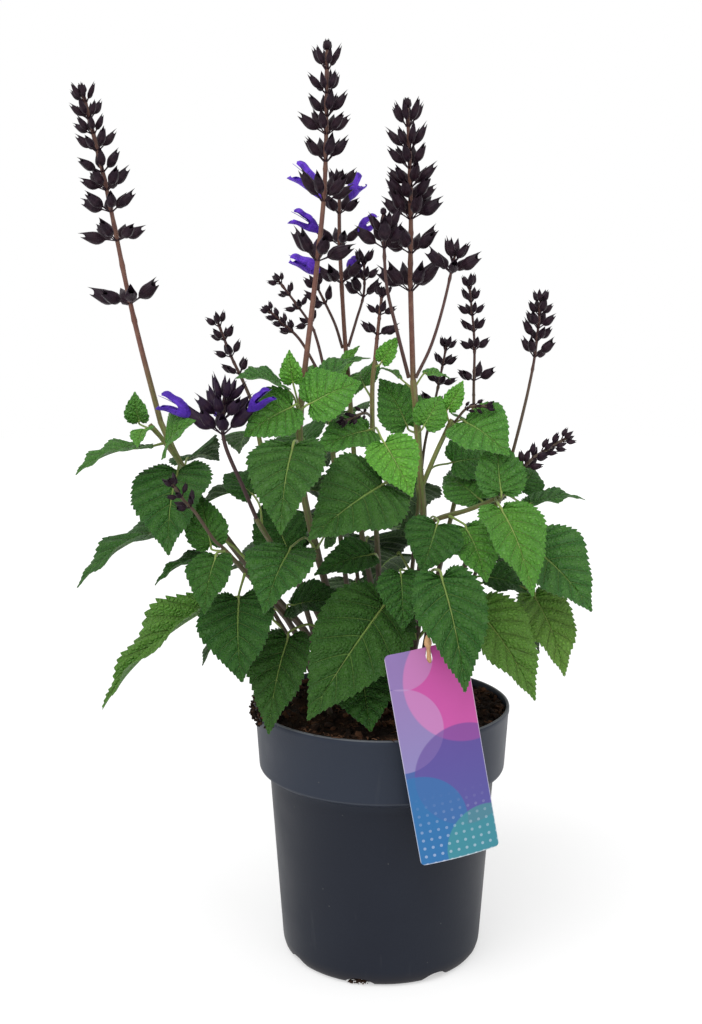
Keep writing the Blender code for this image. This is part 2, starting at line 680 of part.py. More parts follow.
def leaf_trees(blade, stem_radius):
    """Search trees of a leaf's blade and petiole, a little larger than they are."""
    larger = dict(blade, length=blade["length"] + LEAF_CLEARANCE,
                  width=blade["width"] + 2 * LEAF_CLEARANCE)
    sheet, _ = blade_sheet(larger, teeth_of(blade))
    body, _ = thicken(sheet, BLADE_THICKNESS + 2 * LEAF_CLEARANCE)
    clear = clears_pot(body)
    blade_tree = BVHTree.FromBMesh(body)
    body.free()
    radius = 1.5 * petiole_half(blade) + LEAF_CLEARANCE
    stalk = petiole_curve(blade, stem_radius)[:-1]
    return clear, blade_tree, tree_of_tube(stalk, (radius, radius))


def leaf_is_clear(name, blade_tree, stalk_tree, solids):
    """Whether a leaf of a stem crosses nothing, apart from its petiole's root in its own stem."""
    for owner, kind, tree in solids:
        own = owner == name
        if not (own and kind == "stalk") and blade_tree.overlap(tree):
            return False
        if not (own and kind in ("stem", "stalk")) and stalk_tree.overlap(tree):
            return False
    return True


def place_leaves(stem_curves, solids):
    """Settle every leaf so that it crosses no stem, spike or other leaf."""
    placed = {}
    index = 0
    for name, plan in LEAFY_STEMS.items():
        placed[name] = []
        stem_radius = plan["thickness"][1] * MM
        for leaf_plan in plan["leaves"]:
            index += 1
            curve = stem_curves[name][leaf_plan["on"]]
            wanted = blade_from_plan(leaf_plan, curve, index)
            for change in tries():
                blade = turned(wanted, *change)
                above, blade_tree, stalk_tree = leaf_trees(blade, stem_radius)
                if above and leaf_is_clear(name, blade_tree, stalk_tree, solids):
                    solids.append((name, "blade", blade_tree))
                    solids.append((name, "stalk", stalk_tree))
                    placed[name].append(blade)
                    break
    return placed


def teeth_of(blade):
    """How many teeth each side of a blade has, by its length."""
    for teeth, limit in ((2, 26), (3, 41), (4, 64)):
        if blade["length"] < limit * MM:
            return teeth
    return 5


def union(base, pieces):
    """Join pieces to a base body with one Boolean union, and remove the pieces."""
    group = bpy.data.collections.new(base.name + "_pieces")
    bpy.context.scene.collection.children.link(group)
    for piece in pieces:
        bpy.context.scene.collection.objects.unlink(piece)
        group.objects.link(piece)
    join = base.modifiers.new("join", "BOOLEAN")
    join.operation = "UNION"
    join.operand_type = "COLLECTION"
    join.collection = group
    join.solver = "EXACT"
    apply_modifiers(base)
    for piece in pieces:
        bpy.data.objects.remove(piece)
    bpy.data.collections.remove(group)
    return base


def apply_modifiers(body):
    """Make a body's evaluated mesh its own."""
    bpy.context.view_layer.update()
    graph = bpy.context.evaluated_depsgraph_get()
    mesh = bpy.data.meshes.new_from_object(body.evaluated_get(graph))
    body.modifiers.clear()
    old = body.data
    mesh.name = body.name
    body.data = mesh
    bpy.data.meshes.remove(old)


def leafy_stem(name, plan, curves, blades, material):
    """A square stem with its side shoots, petioles and leaves, as one body."""
    thick, thin = plan["thickness"]
    trunk = bmesh.new()
    tube(trunk, curves[0], (thick * MM, thin * MM))
    base = make_object(name, trunk, material)
    pieces = []
    for curve in curves[1:]:
        shoot = bmesh.new()
        tube(shoot, curve, (thin * 0.85 * MM, thin * 0.7 * MM))
        pieces.append(make_object(name + "_shoot", shoot, None))
    for blade in blades:
        body = leaf_bmesh(blade, thin * MM, teeth_of(blade))
        pieces.append(make_object(name + "_leaf", body, None))
    return union(base, pieces)


def calyx(bm, base, out, up, length, width, full):
    """A calyx that grows from four corners of a knot: bell-shaped, with two pointed lips."""
    centre = sum((corner.co for corner in base), Vector()) / 4
    across = up.cross(out).normalized()
    if full:
        wide = centre + 0.54 * length * out
        bottom = bm.verts.new(wide - 0.9 * width * up)
        right = bm.verts.new(wide + width * across)
        top = bm.verts.new(wide + 0.9 * width * up)
        left = bm.verts.new(wide - width * across)
        upper_lip = bm.verts.new(centre + length * out + 0.6 * width * up)
        lower_lip = bm.verts.new(centre + 0.92 * length * out - 0.8 * width * up)
        belt = (bottom, right, top, left)
        for index in range(4):
            after = (index + 1) % 4
            bm.faces.new((base[index], base[after], belt[index]))
            bm.faces.new((base[after], belt[after], belt[index]))
        for corners in ((right, top, upper_lip), (top, left, upper_lip), (left, bottom, lower_lip),
                        (bottom, right, lower_lip), (right, upper_lip, left),
                        (left, lower_lip, right)):
            bm.faces.new(corners)
        return
    wide = centre + 0.5 * length * out
    keel = bm.verts.new(wide - width * up)
    right = bm.verts.new(wide + width * across + 0.6 * width * up)
    left = bm.verts.new(wide - width * across + 0.6 * width * up)
    tip = bm.verts.new(centre + length * out + 0.5 * width * up)
    for corners in ((base[0], base[1], keel), (base[1], right, keel), (base[1], base[2], right),
                    (base[2], left, right), (base[2], base[3], left), (base[3], base[0], left),
                    (base[0], keel, left), (keel, right, tip), (right, left, tip),
                    (left, keel, tip)):
        bm.faces.new(corners)


def calyx_directions(plan, index, number, curve, draw):
    """The outward and upward directions, length and half width of one calyx of a whorl."""
    shares = plan["whorls"]
    _, direction = along_curve(curve, shares[index])
    first, second = section_axes(direction)
    late = (shares[index] - shares[0]) / (shares[-1] - shares[0])
    loose = 1 - 0.85 * late
    turn = math.pi * (2 * number + 1 + index) / plan["sides"]
    turn += math.radians(9 * loose * draw.uniform(-1, 1))
    low, high = plan["rise"]
    rise = low + (high - low) * late * late + 10 * loose * draw.uniform(-1, 1)
    rise = math.radians(min(rise, STEEPEST_CALYX))
    radial = math.cos(turn) * first + math.sin(turn) * second
    out = math.cos(rise) * radial + math.sin(rise) * direction
    up = math.cos(rise) * direction - math.sin(rise) * radial
    large, small = plan["calyx"]
    length = (large + (small - large) * late) * MM * draw.uniform(0.88, 1.1)
    reach = KNOT_RADIUS + 0.54 * length * math.cos(rise)
    width = min(0.19 * length, 0.70 * reach * math.sin(math.pi / plan["sides"]))
    return out, up, length, width


def spike_body(name, plan, material):
    """A flower stem with its whorls of calyces, as one closed body, and where the calyces are."""
    draw = random.Random(name)
    curve = spline([Vector(point) * MM for point in plan["route"]], 4)
    bm = bmesh.new()
    sides = plan["sides"]
    shares = plan["whorls"]
    low, high = plan["thickness"]
    length = sum((b - a).length for a, b in zip(curve, curve[1:]))
    knot_half = 1.1 * MM / length
    stations = [(shares[0] * step / 3, None, 0, 0) for step in range(3)]
    for index, share in enumerate(shares):
        stations.append((share - knot_half, None, index, 1))
        stations.append((share + knot_half, index, index, 1))
    previous = None
    calyces = []
    for share, whorl, step, swollen in stations:
        centre, direction = along_curve(curve, share)
        radius = (low + (high - low) * share) * (1 + 0.35 * swollen) * MM + 0.4 * MM * swollen
        current = ring(bm, centre, direction, radius, sides, step * math.pi / sides)
        if previous is None:
            bm.faces.new(current)
        elif whorl is None:
            bridge(bm, previous, current)
        else:
            for number in range(sides):
                after = (number + 1) % sides
                base = (previous[number], previous[after], current[after], current[number])
                out, up, size, width = calyx_directions(plan, whorl, number, curve, draw)
                calyx(bm, base, out, up, size, width, size > SMALL_CALYX)
                calyces.append((whorl, sum((corner.co for corner in base), Vector()) / 4,
                                out, up, size))
        previous = current
    centre, direction = along_curve(curve, 1.0)
    close(bm, previous, centre + 2 * MM * direction)
    return make_object(name, bm, material), calyces


def calyx_facing(calyces, whorl, compass):
    """The calyx of a whorl that points nearest to a compass direction."""
    turn = math.radians(compass)
    wanted = Vector((math.cos(turn), math.sin(turn), 0))
    return max((calyx for calyx in calyces if calyx[0] == whorl),
               key=lambda calyx: calyx[2].dot(wanted))[1:]


def corolla_body(name, root, out, up, calyx_length, length, material):
    """A violet two-lipped flower: a swelling tube, a hooded upper lip and a broad lower lip."""
    bm = bmesh.new()
    across = out.cross(up).normalized()
    start = root + 0.58 * calyx_length * out + 0.6 * MM * out
    mouth = 0.33 * calyx_length
    beyond = length * MM - mouth

    def middle(share, lift):
        return start + (mouth + share * beyond) * out + lift * beyond * up

    def section(share, lift, wide, tall):
        turns = [math.radians(60 * index) for index in range(6)]
        return [bm.verts.new(middle(share, lift) + wide * MM * math.cos(a) * across
                             + tall * MM * math.sin(a) * up) for a in turns]

    def lip(base, share, lift, corners):
        made = [bm.verts.new(middle(share, lift) + a * MM * across + b * MM * up)
                for a, b in corners]
        bridge(bm, base, made)
        return made

    narrow = section(0.0, 0.0, 1.2, 0.9)
    throat = section(0.34, 0.03, 3.8, 4.2)
    close(bm, narrow[::-1], start)
    bridge(bm, narrow, throat)
    right, upper_right, upper_left, left, lower_left, lower_right = throat
    hood = lip((right, upper_right, upper_left, left), 0.76, 0.17,
               ((2.6, -1.6), (1.9, 1.9), (-1.9, 1.9), (-2.6, -1.6)))
    close(bm, hood, middle(1.0, 0.19))
    skirt = lip((right, left, lower_left, lower_right), 0.72, -0.13,
                ((4.8, 1.0), (-4.8, 1.0), (-3.8, -1.7), (3.8, -1.7)))
    close(bm, skirt, middle(0.96, -0.24))
    return make_object(name, bm, material)


def turned_body(profile, sides):
    """A closed body turned from a profile of radius and height, listed bottom to top outside."""
    bm = bmesh.new()
    previous = None
    for radius, height in profile:
        if radius == 0:
            current = None
            close(bm, previous, Vector((0, 0, height)))
            previous = None
            continue
        current = [bm.verts.new((radius * math.cos(2 * math.pi * i / sides),
                                 radius * math.sin(2 * math.pi * i / sides), height))
                   for i in range(sides)]
        if previous:
            bridge(bm, previous, current)
        else:
            first = current
        previous = current
    close(bm, first, Vector((0, 0, profile[0][1])))
    return bm


def cut(body, cutters):
    """Cut plain openings in a body, and remove the cutters."""
    group = bpy.data.collections.new(body.name + "_cutters")
    bpy.context.scene.collection.children.link(group)
    for cutter in cutters:
        bpy.context.scene.collection.objects.unlink(cutter)
        group.objects.link(cutter)
    taking = body.modifiers.new("cut", "BOOLEAN")
    taking.operation = "DIFFERENCE"
    taking.operand_type = "COLLECTION"
    taking.collection = group
    taking.solver = "EXACT"
    apply_modifiers(body)
    for cutter in cutters:
        bpy.data.objects.remove(cutter)
    bpy.data.collections.remove(group)


def pot_profile():
    """The outside of the pot from its base to the rim, then its inside down to the floor."""
    rim = POT_RIM_RADIUS
    top = POT_HEIGHT
    shoulder = POT_SHOULDER_RADIUS
    foot = POT_BASE_RADIUS
    wall = POT_WALL
    collar = top - POT_COLLAR_DEPTH
    neck = collar - POT_LEDGE_DROP
    narrow = rim - POT_COLLAR_TAPER
    inner_low, inner_high = inner_ledge()
    outside = [(foot, 0), (foot + 4.4 * MM, 1.4 * MM), (foot + 7.2 * MM, 10 * MM),
               (shoulder, neck), (shoulder + 3 * MM, neck + 2 * MM),
               (narrow, collar), (rim, top - 1 * MM), (rim - 0.8 * MM, top)]
    inside = [(rim - 2 * MM, top), (narrow - wall, inner_high), (shoulder - wall, inner_low),
              (foot + 7.2 * MM - wall, 10 * MM), (foot, POT_FLOOR), (0, POT_FLOOR)]
    return outside, inside


def inner_ledge():
    """The heights between which the pot's inside widens from the body to the collar."""
    collar = POT_HEIGHT - POT_COLLAR_DEPTH
    return collar - POT_LEDGE_DROP + 2 * MM, collar + 1 * MM


def inside_radius(height):
    """The pot's inner radius at a height."""
    inside = pot_profile()[1][:-1]
    for upper, lower in zip(inside, inside[1:]):
        if lower[1] <= height <= upper[1]:
            share = (height - lower[1]) / max(upper[1] - lower[1], 1e-9)
            return lower[0] + share * (upper[0] - lower[0])
    return inside[-1][0]


def pot(material):
    """The nursery pot, with arched drain openings where its wall meets the base."""
    body = make_object("pot", turned_body(pot_profile()[0] + pot_profile()[1], POT_SIDES), material)
    cutters = []
    for index in range(DRAIN_OPENINGS):
        turn = 2 * math.pi * (index + 0.5) / DRAIN_OPENINGS + math.radians(9)
        arch = bmesh.new()
        bmesh.ops.create_cone(arch, cap_ends=True, segments=8, radius1=0.5, radius2=0.5, depth=1)
        shape = (Matrix.Rotation(turn, 4, "Z")
                 @ Matrix.Translation((POT_BASE_RADIUS + 4 * MM, 0, 0))
                 @ Matrix.Rotation(math.pi / 2, 4, "Y")
                 @ Matrix.Diagonal((2 * DRAIN_RISE, DRAIN_WIDTH, 14 * MM, 1)))
        bmesh.ops.transform(arch, matrix=shape, verts=arch.verts)
        cutters.append(make_object("drain_cutter", arch, None))
    cut(body, cutters)
    return body


def soil(material, hole_curves):
    """The soil that fills the pot: mounded, rough on top, with plain holes for what stands in it."""
    draw = random.Random(RANDOM_SEED)
    gap = CONTACT_GAP
    bm = bmesh.new()
    sides = SOIL_SIDES
    fit = math.cos(math.pi / POT_SIDES)
    profile = [(POT_BASE_RADIUS * fit - gap, POT_FLOOR + gap)]
    for height in (10 * MM, *inner_ledge(), SOIL_TOP - 3 * MM):
        profile.append((inside_radius(height) * fit - gap, height))
    previous = None
    for radius, height in profile:
        current = [bm.verts.new((radius * math.cos(2 * math.pi * i / sides),
                                 radius * math.sin(2 * math.pi * i / sides), height))
                   for i in range(sides)]
        if previous:
            bridge(bm, previous, current)
        else:
            close(bm, current, Vector((0, 0, height)))
        previous = current
    for share in (0.86, 0.62, 0.36):
        current = []
        for i in range(sides):
            turn = 2 * math.pi * i / sides
            radius = share * profile[-1][0]
            height = SOIL_TOP + SOIL_MOUND * (1 - share * share) + draw.uniform(-1, 1) * SOIL_ROUGHNESS
            current.append(bm.verts.new((radius * math.cos(turn), radius * math.sin(turn), height)))
        bridge(bm, previous, current)
        previous = current
    close(bm, previous, Vector((0, 0, SOIL_TOP + SOIL_MOUND)))
    body = make_object("soil", bm, material)
    cutters = []
    for curve, radius in hole_curves:
        hole = bmesh.new()
        upward = (curve[1] - curve[0]).normalized()
        tube(hole, [curve[0] - 2 * gap * upward, curve[1]], (radius + 2.5 * gap, radius + 2.5 * gap))
        cutters.append(make_object("hole_cutter", hole, None))
    cut(body, cutters)
    return body


def label_frame():
    """The card's own axes: across, down its length and out of its face."""
    turn = Matrix.Rotation(math.radians(LABEL_TURN), 3, "Z")
    out = turn @ Vector((0, -1, 0))
    down = Vector((0, 0, -1))
    down.rotate(Quaternion(out, math.radians(LABEL_TILT)))
    across = down.cross(out)
    return across, down, out


def label(material):
    """A slightly bowed card with cut corners and a hole for its stake."""
    across, down, out = label_frame()
    half = LABEL_WIDTH / 2
    corner = LABEL_CORNER
    rows = [(0, half - corner), (corner, half), (LABEL_LENGTH * 0.35, half),
            (LABEL_LENGTH * 0.7, half), (LABEL_LENGTH - corner, half), (LABEL_LENGTH, half - corner)]
    sheet = bmesh.new()
    grid = []
    for fall, reach in rows:
        bow = LABEL_BOW * (fall / LABEL_LENGTH) ** 2
        line = []
        for v in (-1, -0.4, 0.4, 1):
            curl = LABEL_CURL * v * v
            line.append(sheet.verts.new(LABEL_TOP + fall * down + v * reach * across
                                        + (bow - curl) * out))
        grid.append(line)
    for upper, lower in zip(grid, grid[1:]):
        for a, b, c, d in zip(upper, upper[1:], lower[1:], lower):
            sheet.faces.new((a, b, c))
            sheet.faces.new((a, c, d))
    sheet.normal_update()
    body = make_object("label", thicken(sheet, LABEL_THICKNESS)[0], material)
    hole = bmesh.new()
    tube(hole, [STAKE_FOOT, STAKE_TIP], (LABEL_HOLE_RADIUS, LABEL_HOLE_RADIUS), 8)
    cut(body, [make_object("label_hole", hole, None)])
    return body


def stake(material):
    """The pale stake, thinner and pointed above the card."""
    bm = bmesh.new()
    curve = [STAKE_FOOT.lerp(STAKE_TIP, share) for share in (0, 0.5, 0.84, 0.9, 0.96)]
    swelling = (1, 1, 1, 1.6, 1.25)
    previous = None
    direction = (STAKE_TIP - STAKE_FOOT).normalized()
    for point, swell in zip(curve, swelling):
        current = ring(bm, point, direction, swell * STAKE_RADIUS, 6)
        if previous:
            bridge(bm, previous, current)
        else:
            bm.faces.new(current)
        previous = current
    close(bm, previous, STAKE_TIP)
    return make_object("label_stake", bm, material)


def solid_trees(stem_curves, others):
    """Search trees of the stems and of everything else that a leaf must stay clear of."""
    solids = []
    for name, curves in stem_curves.items():
        thick, thin = LEAFY_STEMS[name]["thickness"]
        for curve in curves:
            radii = (thick * MM + LEAF_CLEARANCE, thin * MM + LEAF_CLEARANCE)
            solids.append((name, "stem", tree_of_tube(curve, radii)))
    for other in others:
        body = bmesh.new()
        body.from_mesh(other.data)
        solids.append((other.name, "other", BVHTree.FromBMesh(body)))
        body.free()
    return solids


def main():
    for old in list(bpy.data.objects):
        bpy.data.objects.remove(old)
    plastic = make_material("anthracite_plastic", (0.045, 0.052, 0.062), 0.55)
    peat = make_material("peat", (0.035, 0.022, 0.014), 0.95)
    leaf_green = make_material("leaf_green", (0.045, 0.16, 0.025), 0.55)
    dark_calyx = make_material("dark_calyx", (0.022, 0.012, 0.022), 0.6)
    violet = make_material("violet_corolla", (0.10, 0.03, 0.42), 0.5)
    card = make_material("label_card", (0.35, 0.16, 0.45), 0.4)
    wood = make_material("pale_wood", (0.62, 0.42, 0.24), 0.6)

    pot(plastic)
    label_body = label(card)
    stake_body = stake(wood)
    spikes = []
    calyces = {}
    for name, plan in SPIKES.items():
        made, calyces[name] = spike_body(name, plan, dark_calyx)
        spikes.append(made)
    blooms = []
    for name, (owner, whorl, compass, length) in COROLLAS.items():
        root, out, up, size = calyx_facing(calyces[owner], whorl, compass)
        blooms.append(corolla_body(name, root, out, up, size, length, violet))

    stem_curves = {}
    for name, plan in LEAFY_STEMS.items():
        stem_curves[name] = [stem_curve(route) for route in plan["routes"]]
    holes = [(curves[0], LEAFY_STEMS[name]["thickness"][0] * MM)
             for name, curves in stem_curves.items()]
    holes.append(([STAKE_FOOT, STAKE_FOOT.lerp(STAKE_TIP, 0.35)], 1.2 * STAKE_RADIUS))
    soil(peat, holes)
    solids = solid_trees(stem_curves, spikes + blooms + [label_body, stake_body])
    placed = place_leaves(stem_curves, solids)
    for name, plan in LEAFY_STEMS.items():
        leafy_stem(name, plan, stem_curves[name], placed[name], leaf_green)


if __name__ == "__main__":
    main()
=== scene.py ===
"""Potted salvia: the finished looks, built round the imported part.

Every piece follows the plan that the part's own solids follow, with finer leaves, calyces, flowers,
stems, peat, pot, label and stake.
"""

import json
import math
import random

import bmesh
import bpy
from bpy.props import FloatProperty, FloatVectorProperty, IntProperty, PointerProperty
from mathutils import Matrix, Quaternion, Vector, kdtree, noise

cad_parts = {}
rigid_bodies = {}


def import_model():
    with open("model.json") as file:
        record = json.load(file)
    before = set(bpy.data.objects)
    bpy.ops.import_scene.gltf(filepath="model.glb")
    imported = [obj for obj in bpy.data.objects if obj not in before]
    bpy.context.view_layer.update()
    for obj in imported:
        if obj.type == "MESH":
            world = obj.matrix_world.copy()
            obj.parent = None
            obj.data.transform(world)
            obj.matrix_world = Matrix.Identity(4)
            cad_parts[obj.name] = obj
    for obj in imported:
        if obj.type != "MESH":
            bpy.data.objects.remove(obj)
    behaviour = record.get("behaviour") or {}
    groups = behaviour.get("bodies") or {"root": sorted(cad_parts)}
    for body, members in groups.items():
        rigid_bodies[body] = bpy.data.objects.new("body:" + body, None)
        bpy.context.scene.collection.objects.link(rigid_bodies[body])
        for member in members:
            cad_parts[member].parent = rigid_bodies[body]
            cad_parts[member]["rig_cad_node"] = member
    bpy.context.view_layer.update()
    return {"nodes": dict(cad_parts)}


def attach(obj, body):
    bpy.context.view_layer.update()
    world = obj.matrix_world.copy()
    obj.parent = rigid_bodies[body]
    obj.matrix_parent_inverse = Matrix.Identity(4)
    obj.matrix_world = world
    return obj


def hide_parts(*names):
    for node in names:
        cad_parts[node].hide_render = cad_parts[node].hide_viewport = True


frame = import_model()

bl_info = {
    "name": "Potted salvia",
    "version": (1, 0, 0),
    "blender": (4, 5, 0),
    "location": "3D View > Sidebar > Salvia",
    "description": "Builds a potted salvia with dark flower spikes round its CAD frame",
    "category": "Object",
}

MM = 0.001
UP = Vector((0, 0, 1))
SEAM = 2e-6

# The plan of the plant, as the part's solids have it
SMALL_CALYX = 14 * MM
STEEPEST_CALYX = 62
KNOT_RADIUS = 1.9 * MM
LOWEST_FORK = 161 * MM
SHORT_PETIOLE = 20 * MM
PETIOLE_HALF = 0.55 * MM
SOLID_TOOTH_DEPTH = 0.05
SOLID_TOOTH_LEAN = 0.012
LABEL_TOP = Vector((23, -93, 230.5)) * MM
LABEL_TILT = 10
LABEL_TURN = 12
STAKE_FOOT = Vector((34, -52, 138)) * MM
STAKE_TIP = Vector((24, -99.5, 240)) * MM
LEAF_OUTLINE = (
    (0, 0), (-0.065, 0.22), (-0.085, 0.42), (-0.03, 0.70), (0.11, 0.93), (0.28, 1.0),
    (0.46, 0.86), (0.63, 0.62), (0.78, 0.36), (0.90, 0.15), (1, 0),
)


def leaf(height, heel, tip, width, front=1.0, on=0, fold=0.22, arch=0.10, young=0.0, pale=0.0):
    """A leaf whose heel and tip are given one by one, in millimetres.

    young makes it brighter and yellower, and pale gives it the washed look of an old leaf.
    """
    return {"height": height, "heel": heel, "tip": tip, "width": width, "on": on, "front": front,
            "fold": fold, "arch": arch, "young": young, "pale": pale}


def side_leaf(height, compass, length, on=0, droop=25, stalk=0.4, width=0.78):
    """A leaf that leaves its node towards a compass direction in degrees, on a rising stalk."""
    return {"height": height, "compass": compass, "length": length, "on": on, "droop": droop,
            "stalk": stalk, "width": width * length, "front": 0, "fold": 0.22, "arch": 0.12,
            "young": 0.0, "pale": 0.0}


def stem_plan(routes, thickness, *leaves):
    """A leafy stem: the first route rises from the soil, the others fork from it."""
    return {"routes": routes, "thickness": thickness, "leaves": list(leaves)}


